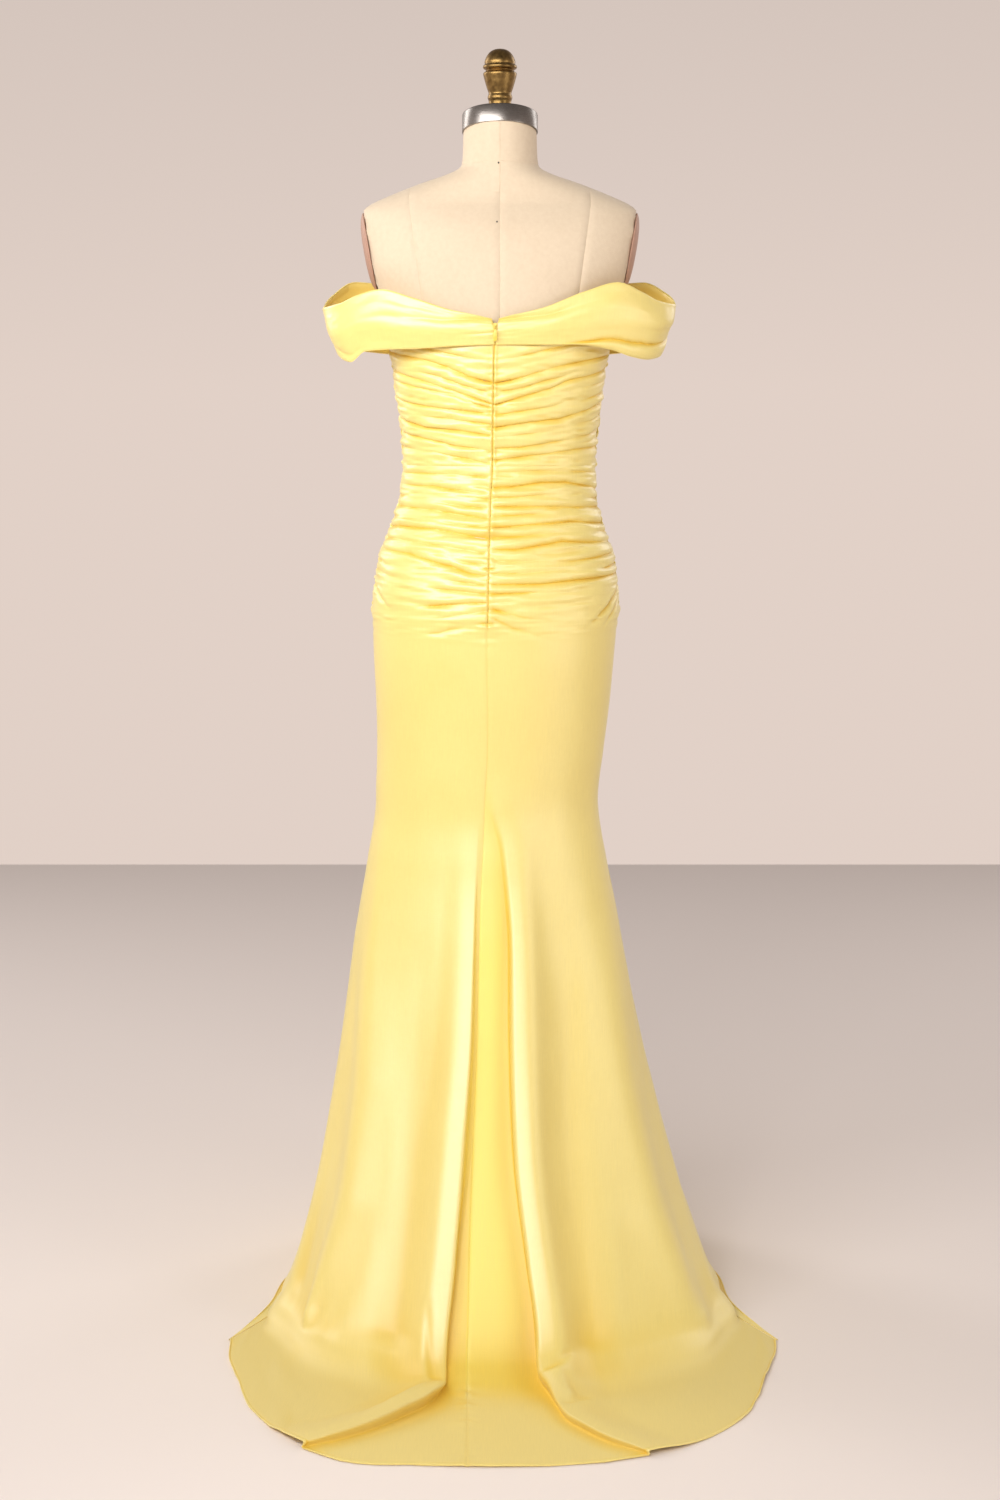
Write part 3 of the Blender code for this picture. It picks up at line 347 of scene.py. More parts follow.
BODICE_LEFT = [
    (1.8, 4.0, 0.00, 0.30, ((0, 1.314), (0.3, 1.321), (0.6, 1.326), (1, 1.331))),
    (1.7, 3.6, 0.00, 0.25, ((0, 1.284), (0.22, 1.290), (0.40, 1.298), (0.6, 1.305), (1, 1.318))),
    (1.0, 3.0, 0.15, 0.20, ((0.05, 1.270), (0.25, 1.280), (0.5, 1.294), (0.7, 1.303))),
    (2.3, 4.2, 0.00, 0.05, ((0, 1.256), (0.18, 1.264), (0.36, 1.278), (0.5, 1.286), (1, 1.300))),
    (1.2, 3.2, 0.10, 0.20, ((0, 1.242), (0.2, 1.251), (0.4, 1.264), (0.6, 1.273))),
    (2.0, 3.6, 0.00, 0.10, ((0, 1.228), (0.23, 1.241), (0.42, 1.252), (0.57, 1.260), (1, 1.278))),
    (1.4, 2.8, 0.00, 0.05, ((0, 1.222), (0.14, 1.229), (0.30, 1.240), (0.53, 1.248), (1, 1.263))),
    (1.6, 3.2, 0.10, 0.05, ((0.02, 1.215), (0.29, 1.220), (0.55, 1.225), (0.76, 1.231),
                            (1, 1.240))),
    (1.1, 3.0, 0.00, 0.25, ((0, 1.201), (0.2, 1.205), (0.45, 1.210), (0.7, 1.214))),
    (2.1, 3.8, 0.00, 0.05, ((0, 1.186), (0.29, 1.193), (0.57, 1.197), (0.76, 1.204), (1, 1.213))),
    (1.7, 3.6, 0.00, 0.05, ((0, 1.166), (0.30, 1.172), (0.52, 1.180), (0.77, 1.187), (1, 1.193))),
    (1.6, 3.4, 0.00, 0.05, ((0, 1.148), (0.25, 1.156), (0.50, 1.164), (1, 1.172))),
    (1.0, 2.8, 0.30, 0.00, ((0.6, 1.218), (0.8, 1.223), (1, 1.228))),
]
HIP_RIGHT = [
    (1.2, 3.0, 0.05, 0.20, ((0, 1.137), (0.3, 1.139), (0.6, 1.138), (1, 1.134))),
    (2.2, 4.2, 0.00, 0.00, ((0, 1.117), (0.13, 1.118), (0.36, 1.124), (0.56, 1.124), (1, 1.112))),
    (1.4, 3.0, 0.00, 0.35, ((0, 1.104), (0.2, 1.105), (0.5, 1.107))),
    (2.3, 4.2, 0.00, 0.00, ((0, 1.092), (0.17, 1.092), (0.39, 1.092), (0.63, 1.090), (1, 1.088))),
    (1.5, 3.0, 0.00, 0.30, ((0, 1.079), (0.2, 1.081), (0.5, 1.083))),
    (1.5, 3.0, 0.20, 0.00, ((0.7, 1.101), (1, 1.100))),
    (2.6, 4.4, 0.00, 0.00, ((0, 1.065), (0.23, 1.068), (0.41, 1.070), (0.56, 1.072), (1, 1.066))),
    (1.4, 3.0, 0.00, 0.30, ((0, 1.051), (0.2, 1.053), (0.5, 1.058))),
    (1.6, 3.0, 0.20, 0.00, ((0.72, 1.054), (0.85, 1.056), (1, 1.054))),
    (2.4, 4.2, 0.00, 0.00, ((0, 1.036), (0.16, 1.036), (0.32, 1.042), (0.47, 1.046), (1, 1.040))),
    (1.8, 4.0, 0.05, 0.10, ((0, 1.022), (0.2, 1.020), (0.5, 1.019), (0.8, 1.024), (1, 1.026))),
    (1.6, 3.0, 0.00, 0.25, ((0, 1.004), (0.2, 1.004), (0.45, 1.007))),
    (1.7, 3.2, 0.20, 0.00, ((0.66, 1.004), (0.85, 1.009), (1, 1.012))),
    (2.5, 4.2, 0.00, 0.00, ((0, 0.990), (0.15, 0.990), (0.29, 0.990), (0.51, 0.994), (1, 0.998))),
    (2.0, 3.0, 0.00, 0.20, ((0, 0.977), (0.12, 0.978), (0.35, 0.979))),
    (1.2, 3.0, 0.00, 0.15, ((0, 0.966), (0.15, 0.964), (0.3, 0.962))),
    (1.6, 5.0, 0.00, 0.20, ((0.02, 0.957), (0.20, 0.945), (0.35, 0.940), (0.5, 0.939))),
    (0.9, 5.0, 0.02, 0.20, ((0.02, 0.946), (0.15, 0.930), (0.30, 0.919), (0.42, 0.914))),
    (2.2, 5.0, 0.25, 0.00, ((0.55, 0.925), (0.64, 0.938), (0.80, 0.962), (1, 0.984))),
    (2.0, 4.6, 0.20, 0.00, ((0.68, 0.922), (0.78, 0.941), (0.88, 0.957), (1, 0.971))),
]
HIP_LEFT = [
    (1.1, 3.0, 0.05, 0.20, ((0, 1.130), (0.3, 1.134), (0.6, 1.135), (1, 1.134))),
    (1.9, 4.0, 0.00, 0.05, ((0, 1.110), (0.13, 1.110), (0.25, 1.112), (0.51, 1.118), (1, 1.119))),
    (2.2, 3.0, 0.00, 0.20, ((0, 1.101), (0.13, 1.104), (0.35, 1.106))),
    (1.2, 3.0, 0.00, 0.30, ((0, 1.089), (0.2, 1.092), (0.5, 1.097))),
    (1.4, 3.0, 0.20, 0.00, ((0.75, 1.103), (1, 1.105))),
    (2.0, 4.0, 0.00, 0.05, ((0, 1.076), (0.15, 1.080), (0.32, 1.084), (0.54, 1.088), (1, 1.091))),
    (1.2, 3.0, 0.00, 0.30, ((0, 1.063), (0.2, 1.067), (0.5, 1.072))),
    (1.5, 3.0, 0.20, 0.00, ((0.75, 1.075), (1, 1.076))),
    (1.9, 4.0, 0.00, 0.05, ((0, 1.050), (0.20, 1.056), (0.41, 1.062), (0.75, 1.064), (1, 1.061))),
    (1.3, 3.4, 0.05, 0.10, ((0, 1.030), (0.2, 1.036), (0.45, 1.042), (0.7, 1.046), (1, 1.047))),
    (1.3, 3.0, 0.00, 0.30, ((0, 1.015), (0.2, 1.020), (0.4, 1.028))),
    (1.9, 4.0, 0.00, 0.05, ((0, 1.000), (0.12, 1.004), (0.25, 1.014), (0.38, 1.020),
                            (0.56, 1.028), (1, 1.033))),
    (1.4, 3.0, 0.20, 0.00, ((0.72, 1.012), (0.85, 1.015), (1, 1.018))),
    (1.7, 3.0, 0.00, 0.20, ((0, 0.988), (0.15, 0.992), (0.35, 0.997))),
    (2.0, 3.4, 0.00, 0.20, ((0, 0.976), (0.14, 0.980), (0.27, 0.982), (0.45, 0.984))),
    (2.1, 3.6, 0.00, 0.20, ((0, 0.966), (0.17, 0.964), (0.35, 0.960), (0.5, 0.957))),
    (1.2, 3.4, 0.00, 0.20, ((0, 0.954), (0.2, 0.948), (0.38, 0.940))),
    (2.0, 4.6, 0.00, 0.15, ((0.01, 0.938), (0.14, 0.934), (0.26, 0.926), (0.42, 0.920))),
    (1.6, 4.0, 0.20, 0.00, ((0.66, 0.996), (0.85, 1.001), (1, 1.003))),
    (2.0, 5.0, 0.25, 0.00, ((0.60, 0.945), (0.72, 0.960), (0.86, 0.974), (1, 0.985))),
]

# Gathers of the front, which the photo doesn't show: depth and width in millimetres, then
# heights at the left side seam, at the centre and at the right side seam, and the reach of
# the gather from the left and from the right as shares of the front
BODICE_FRONT = [
    (1.8, 4.2, 1.331, 1.322, 1.330, 1.35, 0.70),
    (2.0, 4.4, 1.318, 1.305, 1.318, 1.0, 1.0),
    (2.3, 4.6, 1.300, 1.284, 1.296, 0.75, 1.40),
    (1.6, 3.8, 1.286, 1.271, 1.286, 0.5, 0.7),
    (2.3, 4.6, 1.278, 1.259, 1.277, 1.25, 0.85),
    (1.5, 3.6, 1.263, 1.246, 1.261, 0.7, 0.4),
    (2.2, 4.4, 1.240, 1.229, 1.247, 1.35, 0.70),
    (1.4, 3.6, 1.228, 1.216, 1.233, 0.5, 0.8),
    (2.2, 4.2, 1.213, 1.203, 1.214, 1.0, 1.0),
    (2.0, 4.2, 1.193, 1.183, 1.195, 0.75, 1.40),
    (1.3, 3.4, 1.182, 1.171, 1.182, 0.8, 0.4),
    (1.8, 3.8, 1.172, 1.160, 1.171, 1.25, 0.85),
]
HIP_FRONT = [
    (1.4, 3.4, 1.134, 1.131, 1.134, 1.35, 0.70),
    (2.1, 4.2, 1.119, 1.113, 1.112, 1.0, 1.0),
    (1.5, 3.4, 1.105, 1.102, 1.100, 0.5, 0.4),
    (2.2, 4.2, 1.091, 1.086, 1.088, 0.75, 1.40),
    (1.4, 3.4, 1.076, 1.071, 1.078, 0.4, 0.6),
    (2.2, 4.2, 1.061, 1.057, 1.066, 1.25, 0.85),
    (1.5, 3.4, 1.047, 1.043, 1.054, 0.6, 0.4),
    (2.3, 4.2, 1.033, 1.028, 1.040, 1.35, 0.70),
    (1.4, 3.4, 1.018, 1.014, 1.026, 0.4, 0.7),
    (2.2, 4.4, 1.003, 0.999, 1.012, 1.0, 1.0),
    (1.9, 4.2, 0.985, 0.982, 0.998, 0.6, 0.9),
    (1.8, 4.8, 0.972, 0.950, 0.984, 0.5, 0.5),
    (1.5, 5.2, 0.962, 0.925, 0.971, 0.3, 0.4),
]

# Edges of the band: the back from the zip to the outer arm, the front from there to the middle
BAND_BACK = Sections("along top_right bottom_right top_left bottom_left", [
    (0.00, 1.340, 1.305, 1.340, 1.305),
    (0.15, 1.353, 1.305, 1.350, 1.303),
    (0.30, 1.374, 1.304, 1.366, 1.300),
    (0.45, 1.387, 1.298, 1.378, 1.299),
    (0.58, 1.3750, 1.289, 1.3705, 1.297),
    (0.70, 1.3640, 1.286, 1.3605, 1.283),
    (0.85, 1.3605, 1.289, 1.3565, 1.289),
    (1.00, 1.3620, 1.302, 1.3555, 1.310),
])
BAND_FRONT = Sections("along top_right bottom_right top_left bottom_left", [
    (0.00, 1.3620, 1.302, 1.3555, 1.310),
    (0.20, 1.378, 1.300, 1.3755, 1.303),
    (0.40, 1.3935, 1.298, 1.3940, 1.298),
    (0.60, 1.390, 1.294, 1.390, 1.294),
    (0.80, 1.368, 1.289, 1.367, 1.289),
    (1.00, 1.348, 1.286, 1.348, 1.286),
])

# Pleats of the band: depth and width in millimetres, fades, then places as share of the way
# along the piece and level, 1 at its top edge
BAND_BACK_RIGHT_PLEATS = [
    (1.5, 7.0, 0.00, 0.25, ((0, 0.93), (0.1, 0.86), (0.19, 0.78), (0.31, 0.77), (0.5, 0.80))),
    (1.0, 5.0, 0.00, 0.10, ((0, 0.36), (0.08, 0.33), (0.16, 0.33))),
    (1.9, 5.0, 0.35, 0.00, ((0.50, 0.40), (0.62, 0.46), (0.8, 0.52), (0.97, 0.57), (1, 0.57))),
    (1.5, 4.5, 0.30, 0.00, ((0.60, 0.26), (0.8, 0.42), (1, 0.45))),
    (0.9, 9.0, 0.10, 0.15, ((0.20, 0.50), (0.4, 0.52), (0.6, 0.66), (0.85, 0.80))),
]
BAND_BACK_LEFT_PLEATS = [
    (2.0, 8.0, 0.00, 0.22, ((0, 0.95), (0.05, 0.90), (0.19, 0.69), (0.37, 0.57), (0.6, 0.54))),
    (0.9, 5.0, 0.06, 0.15, ((0.1, 0.95), (0.2, 0.87), (0.33, 0.81), (0.5, 0.82))),
    (1.4, 4.5, 0.00, 0.10, ((0, 0.46), (0.06, 0.38), (0.16, 0.30))),
    (1.3, 5.0, 0.10, 0.10, ((0.55, 0.04), (0.7, 0.12), (0.95, 0.28))),
]
BAND_FRONT_PLEATS = [
    (2.4, 5.0, 0.00, 0.00, ((-1, 0.56), (-0.5, 0.62), (0, 0.55), (0.5, 0.60), (1, 0.45))),
    (2.2, 4.6, 0.00, 0.00, ((-1, 0.78), (-0.5, 0.80), (0, 0.72), (0.5, 0.79), (1, 0.68))),
    (1.6, 4.2, 0.00, 0.10, ((-1, 0.68), (-0.7, 0.71), (-0.3, 0.66), (0, 0.63))),
    (1.6, 4.2, 0.10, 0.00, ((0, 0.63), (0.3, 0.68), (0.7, 0.69), (1, 0.57))),
    (1.5, 4.4, 0.20, 0.20, ((-0.8, 0.40), (-0.3, 0.42), (0.2, 0.40), (0.8, 0.41))),
]


def smoothstep(t):
    """From 0 to 1, level at both ends."""
    t = min(max(t, 0.0), 1.0)
    return t * t * (3 - 2 * t)


def eased(t):
    """The same smooth step for arrays."""
    t = np.clip(t, 0.0, 1.0)
    return t * t * (3 - 2 * t)


def mix(a, b, t):
    """The value a share of the way from one to another."""
    return a + (b - a) * t


def bell(value, middle, width):
    """A soft bump of height one, for arrays."""
    return np.exp(-(((value - middle) / width) ** 2))


def groove(distance, size):
    """Depth of a groove at a distance from its middle."""
    deep, half = size
    return deep * bell(distance, 0.0, half)


def sided(row, right, *words):
    """The values that a table's row gives for one side."""
    return [getattr(row, word + ("_right" if right else "_left")) for word in words]


def fold_width(crest):
    """Half width of a deep fold, less where its crest runs near the seam."""
    return min(FOLD_WIDTH, 0.85 * crest)


def bezier(p0, p1, p2, p3, t):
    """Point and tangent of a cubic curve in plan."""
    s = 1 - t
    point = p0 * s**3 + p1 * (3 * s * s * t) + p2 * (3 * s * t * t) + p3 * t**3
    tangent = (p1 - p0) * (3 * s * s) + (p2 - p1) * (6 * s * t) + (p3 - p2) * (3 * t * t)
    return point, tangent


@lru_cache(maxsize=None)
def figure_section(height, grow=0.0):
    """The figure's section at a height, grown outwards by a distance."""
    s = FIGURE.at(height)
    return SimpleNamespace(
        half=s.half + grow, back=s.back + grow, front=s.front + grow,
        side=0.0, centre=s.centre, square=s.square, flat=s.square, tip=0.0,
    )


def skirt_table():
    """The skirt's sections: the figure's own at the hip, then the hanging and lying cloth."""
    rows = []
    for height in (1.060, 1.013, 0.980, 0.950):
        s = figure_section(height, CLOTH)
        rows.append(
            (WAIST - height, s.half, s.back, s.front, 0.0, s.centre, s.square, s.square, 0.0)
        )
    return Sections(SKIRT_COLUMNS, rows + SKIRT_LOW_ROWS)


SKIRT = skirt_table()
HIP_DOWN = WAIST - 0.980


def dress_section(down):
    """The dress's outer section, at a distance down from the waist seam."""
    if down <= HIP_DOWN:
        return figure_section(WAIST - down, CLOTH)
    return SKIRT.at(down)


def height_of(down):
    """Height of the cloth's outer face: it falls straight, bends softly, then lies down."""
    above = (WAIST - down - CLOTH) / FLOOR_BEND
    if above > 12:
        return WAIST - down
    return CLOTH + FLOOR_BEND * math.log1p(math.exp(above))


def bust(x, height, bridged):
    """How far the bust stands out. Cloth bridges the hollow between its two sides."""
    beside = abs(x) - BUST.apart
    if bridged:
        beside = max(beside, 0.0)
    level = (height - BUST.height) / BUST.tall
    return BUST.rise * math.exp(-((beside / BUST.width) ** 2) - level**2)


def quarter_handles(section, front):
    """The four points of the cubic curve of a quarter section on the right side."""
    s = section
    side_point = Vector((s.half, s.side))
    if not front:
        reach = s.square * (s.back + s.side)
        return (
            Vector((0, -s.back)),
            Vector((s.flat * s.half, -s.back)),
            Vector((s.half - TIP_BACK * s.tip, s.side - reach)),
            side_point,
        )
    return (
        side_point,
        Vector((s.half, s.side + s.square * (s.front - s.side))),
        Vector((s.square * s.half, s.front)),
        Vector((0, s.front)),
    )


@lru_cache(maxsize=None)
def quarter_measure(half, back, front, side, square, flat, tip, is_front):
    """Running lengths along a quarter section, at even steps of its curve."""
    section = SimpleNamespace(
        half=half, back=back, front=front, side=side, square=square, flat=flat, tip=tip
    )
    handles = quarter_handles(section, is_front)
    points = [bezier(*handles, i / CURVE_STEPS)[0] for i in range(CURVE_STEPS + 1)]
    lengths = [0.0]
    for a, b in zip(points, points[1:]):
        lengths.append(lengths[-1] + (b - a).length)
    return lengths


def measure(section, front):
    """Running lengths of a section's quarter."""
    s = section
    return quarter_measure(s.half, s.back, s.front, s.side, s.square, s.flat, s.tip, front)


def curve_place(lengths, share):
    """Place on the curve at a share of its length."""
    want = share * lengths[-1]
    i = 0
    while i < CURVE_STEPS - 1 and lengths[i + 1] < want:
        i += 1
    return (i + (want - lengths[i]) / (lengths[i + 1] - lengths[i])) / CURVE_STEPS


def ring_point(section, turn, height, bridged=True):
    """Point and outward direction of a section. Turn is 0 at the centre back, 1 at the
    right side seam, 2 at the centre front and 3 at the left side seam."""
    mirrored = turn > 2
    turn = 4 - turn if mirrored else turn
    front = turn > 1
    place = curve_place(measure(section, front), turn - 1 if front else turn)
    point, tangent = bezier(*quarter_handles(section, front), place)
    if front:
        point.y += bust(point.x, height, bridged) * smoothstep((turn - 1) * 3)
    outward = Vector((tangent.y, -tangent.x)).normalized()
    if mirrored:
        if not front:
            reach, place, width = LEFT_CORNER
            point += outward * section.tip * reach * math.exp(-(((turn - place) / width) ** 2))
        point.x, outward.x = -point.x, -outward.x
    swing = 0.0 if front else TIP_SWING * section.tip * math.sin(math.pi * turn)
    point.x += section.centre + swing
    return point, outward


def quarter_length(down, front=False):
    """Length of a quarter section, at the back or at the front."""
    return measure(dress_section(down), front)[-1]


def flute_rise(down, turn):
    """Outward rise of the soft flutes."""
    total = 0.0
    for place, width, rise, start in FLUTES:
        grown = smoothstep((down - start) / (WAIST - start))
        total += rise * grown * math.exp(-(((turn - place) / width) ** 2))
    return total


def fold_shift(down, distance, right):
    """Outward, sideways and upward shift of the deep fold beside the centre back."""
    fold = BACK_FOLDS.at(down)
    crest, rise, lean, lift = sided(fold, right, "crest", "rise", "lean", "lift")
    q = (distance - crest) / fold_width(crest)
    near = smoothstep((q + 1) / 1.2)
    shape = near if q < 0.2 else 1 - smoothstep((q - 0.2) / FOLD_FADE)
    out = rise * shape - fold.sink * (1 - near)
    foot = math.exp(-(((q + 0.85) / 0.45) ** 2)) * smoothstep(distance / FOLD_WIDTH)
    brow = math.exp(-(((q - 0.1) / 0.55) ** 2))
    return out, lean * (foot - brow), lift * shape


def front_hem_point(down, turn):
    """Point of the front where it lies on the floor, and its outward direction."""
    point, outward = ring_point(dress_section(WAIST), turn, 0.0)
    side = 1 if turn < 2 else 3
    corner = ring_point(dress_section(down), side, 0.0)[0]
    root = ring_point(dress_section(WAIST), side, 0.0)[0]
    pull = abs(turn - 2) ** CORNER_PULL
    reach = mix(FRONT_SPREAD, SIDE_SPREAD, smoothstep(1.4 * abs(turn - 2)))
    spread = reach * (down - WAIST) / (HEM_DOWN - WAIST) * (1 - pull)
    return point + outward * spread + (corner - root) * pull, outward


def skirt_point(down, turn, away=None):
    """Point of the skirt's outer face, with its folds and flutes."""
    height = height_of(down)
    turn %= 4
    if away is None and down > WAIST:
        point, outward = front_hem_point(down, turn)
    else:
        point, outward = ring_point(dress_section(down), turn, height)
    fold, lift = 0.0, 0.0
    if away is not None:
        fold, aside, lift = fold_shift(down, abs(away), away > 0)
        point += Vector((-outward.y, outward.x)) * (aside if away > 0 else -aside)
    fading = 0.0 if away is None else 0.5 * smoothstep((down - WAIST) / 0.10)
    flute = flute_rise(down, turn) * (1 - fading)
    place = point + outward * (flute + fold)
    return (place.x, place.y, max(height + lift, CLOTH))


# The fold along the right back band, by share of the way along it and level
BAND_FOLD = ((0.0, 0.0), (0.18, 0.0), (0.32, 0.09), (0.40, 0.16), (0.5, 0.20), (0.62, 0.26),
             (0.9, 0.33), (1.0, 0.34))


# How far the band reaches out at its bottom and its top edge, and how soon it does
BAND_REACH_RIGHT = (0.2200, 0.2395, 0.7)
BAND_REACH_LEFT = (0.2230, 0.2420, 0.9)


def band_swell(level, along, right, front):
    """How far the band's face stands out: one roll above, a smaller below."""
    if front:
        at_arm, free, split = 1 - smoothstep(along / 0.25), 1.0, 0.25
    else:
        at_arm, free = smoothstep((along - 0.7) / 0.3), smoothstep(along / 0.5)
        split = float(np.interp(along, *zip(*BAND_FOLD))) if right else 0.0
    if level >= split:
        roll = math.sin(math.pi * smoothstep((level - split) / (1 - split))) ** 0.8
    else:
        roll = 0.45 * math.sin(math.pi * level / split) * free
    return BAND_BULGE * (0.35 + 0.65 * free) * roll * (1 - 0.75 * at_arm)


def band_point(along, level, right, front):
    """Point of the band's outer face. Along runs from the centre back to the outer arm,
    or from the outer arm to the centre front. Level is 1 at the top edge."""
    table = (BAND_FRONT if front else BAND_BACK).at(along)
    height = mix(*sided(table, right, "bottom", "top"), level)
    torso = figure_section(min(max(height, 1.286), 1.374), BAND_CLEAR)
    low, high, power = BAND_REACH_RIGHT if right else BAND_REACH_LEFT
    outer = mix(low, high, level**power)
    if front:
        deep = torso.front + bust(0.0, height, True)
        point, tangent = bezier(
            Vector((outer, 0.0)), Vector((outer, 0.075)),
            Vector((0.150, deep)), Vector((0.0, deep)), along,
        )
    else:
        point, tangent = bezier(
            Vector((0.0, -torso.back)), Vector((0.135, -torso.back)),
            Vector((outer, -0.070)), Vector((outer, 0.0)), along,
        )
    outward = Vector((tangent.y, -tangent.x)).normalized()
    point += outward * band_swell(level, along, right, front)
    if not front:
        notch = NOTCH_HALF * smoothstep((level - 0.55) / 0.45) * (1 - smoothstep(along / 0.06))
        seam = SEAM_LINE.at(WAIST - height).aside
        point.x += notch + (seam if right else -seam) * (1 - along) ** 4
    return (point.x if right else -point.x, point.y, height)


def seam_place(down):
    """Place of the centre-back seam line in plan."""
    turn = SEAM_LINE.at(down).aside / quarter_length(down) % 4
    return ring_point(dress_section(down), turn, height_of(down))[0]


# Working on the cloth as grids of points


def streaks(u, v, seed):
    """Smooth uneven values around zero over a grid of places."""
    table = np.random.default_rng(seed).standard_normal((97, 97))
    i, j = np.floor(u).astype(int), np.floor(v).astype(int)
    s, t = eased(u - i), eased(v - j)
    i, j = i % 96, j % 96
    low = table[i, j] * (1 - s) + table[i + 1, j] * s
    high = table[i, j + 1] * (1 - s) + table[i + 1, j + 1] * s
    return low * (1 - t) + high * t


def grid_normals(points):
    """Outward directions of a grid whose rows run down and columns against the clock."""
    normals = np.cross(np.gradient(points, axis=0), np.gradient(points, axis=1))
    return normals / np.maximum(np.linalg.norm(normals, axis=2, keepdims=True), 1e-12)


def closed_in(points):
    """How closed in each place of a grid of cloth lies: 0 on a ridge, 1 deep in a crease."""
    normals = grid_normals(points)
    total = np.zeros(points.shape[:2])
    for axis in (0, 1):
        count = points.shape[axis]
        for side in (1, -1):
            highest = np.zeros(points.shape[:2])
            for reach in CREASE_REACHES:
                places = np.clip(np.arange(count) + side * reach, 0, count - 1)
                ray = np.take(points, places, axis=axis) - points
                length = np.maximum(np.linalg.norm(ray, axis=2), 1e-9)
                highest = np.maximum(highest, (ray * normals).sum(axis=2) / length)
            total += highest
    return eased((total / 4 - CREASE_START) / CREASE_SPAN)


def gathers(lines, across, level, unit=1.0):
    """Depth of the gathers at each place, in metres, and how far cloth droops over them.
    Level is a height, or a share of one when unit is that height in metres."""
    depth, droop = np.zeros_like(across), np.zeros_like(across)
    pinched = 0.85 + 0.5 * np.clip(1 - abs(across), 0, 1) * np.clip(4 * abs(across), 0, 1)
    for number, (deep, wide, fade_in, fade_out, places) in enumerate(lines):
        keys = [place[0] for place in places]
        path = np.interp(across, keys, [place[1] for place in places])
        reach = np.ones_like(across)
        if fade_in > 0 or keys[0] > 0.01:
            reach *= eased((across - keys[0]) / max(fade_in, 0.02))
        if fade_out > 0 or keys[-1] < 0.99:
            reach *= eased((keys[-1] - across) / max(fade_out, 0.02))
        reach *= 1 + 0.40 * streaks(across * 3.1 + 20, np.full_like(across, 7.3 * number), 77)
        q = (level - path) * unit / (wide * 0.00088 * pinched)
        trough = np.exp(-(np.sqrt(q * q + 0.06) - 0.245) / 0.85)
        fold = 0.42 * bell(q, 1.45, 1.0) + 0.20 * bell(q, -1.6, 1.1) - 1.25 * trough
        depth += 0.001 * deep * reach * fold
        droop += 0.001 * deep * reach * bell(q, 0.7, 0.6)
    return depth, droop


def front_lines(rows):
    """Gathers of the front as places from the left side seam, -1, to the right, 1."""
    lines = []
    for deep, wide, left, centre, right, reach_left, reach_right in rows:
        middle = [(-0.5, mix(centre, left, 0.30)), (0.0, centre), (0.5, mix(centre, right, 0.30))]
        places = [(-1, left), *middle, (1, right)]
        if reach_left >= 1.0 and reach_right >= 1.0:
            lines.append((deep, wide, 0.0, 0.0, tuple(places)))
            continue
        for side, reach in ((-1, reach_left), (1, reach_right)):
            end = side * (1 - reach)
            height = float(np.interp(end, [p[0] for p in places], [p[1] for p in places]))
            own = [p for p in places if (p[0] - end) * side > 0.02] + [(end, height)]
            own.sort()
            fades = (0.35, 0.0) if side > 0 else (0.0, 0.35)
            lines.append((deep, wide, *fades, tuple(own)))
    return lines


def from_edges(points):
    """Distance of each grid place from the panel's nearest edge, along the cloth."""
    reach = np.full(points.shape[:2], 9.0)
    for axis in (0, 1):
        steps = np.linalg.norm(np.diff(points, axis=axis), axis=-1)
        start = np.zeros_like(np.take(steps, [0], axis=axis))
        run = np.concatenate([start, np.cumsum(steps, axis=axis)], axis=axis)
        reach = np.minimum(reach, np.minimum(run, np.take(run, [-1], axis=axis) - run))
    return reach


def select_only(piece):
    """Selects one piece and makes it the active one."""
    bpy.ops.object.select_all(action="DESELECT")
    piece.select_set(True)
    bpy.context.view_layer.objects.active = piece


def apply_all(piece):
    """Applies every modifier of a piece."""
    select_only(piece)
    for modifier in list(piece.modifiers):
        bpy.ops.object.modifier_apply(modifier=modifier.name)


def mesh_piece(name, points, faces):
    """A piece from its points and faces."""
    mesh = bpy.data.meshes.new(name)
    mesh.from_pydata(points, [], faces)
    piece = bpy.data.objects.new(name, mesh)
    bpy.context.scene.collection.objects.link(piece)
    return piece


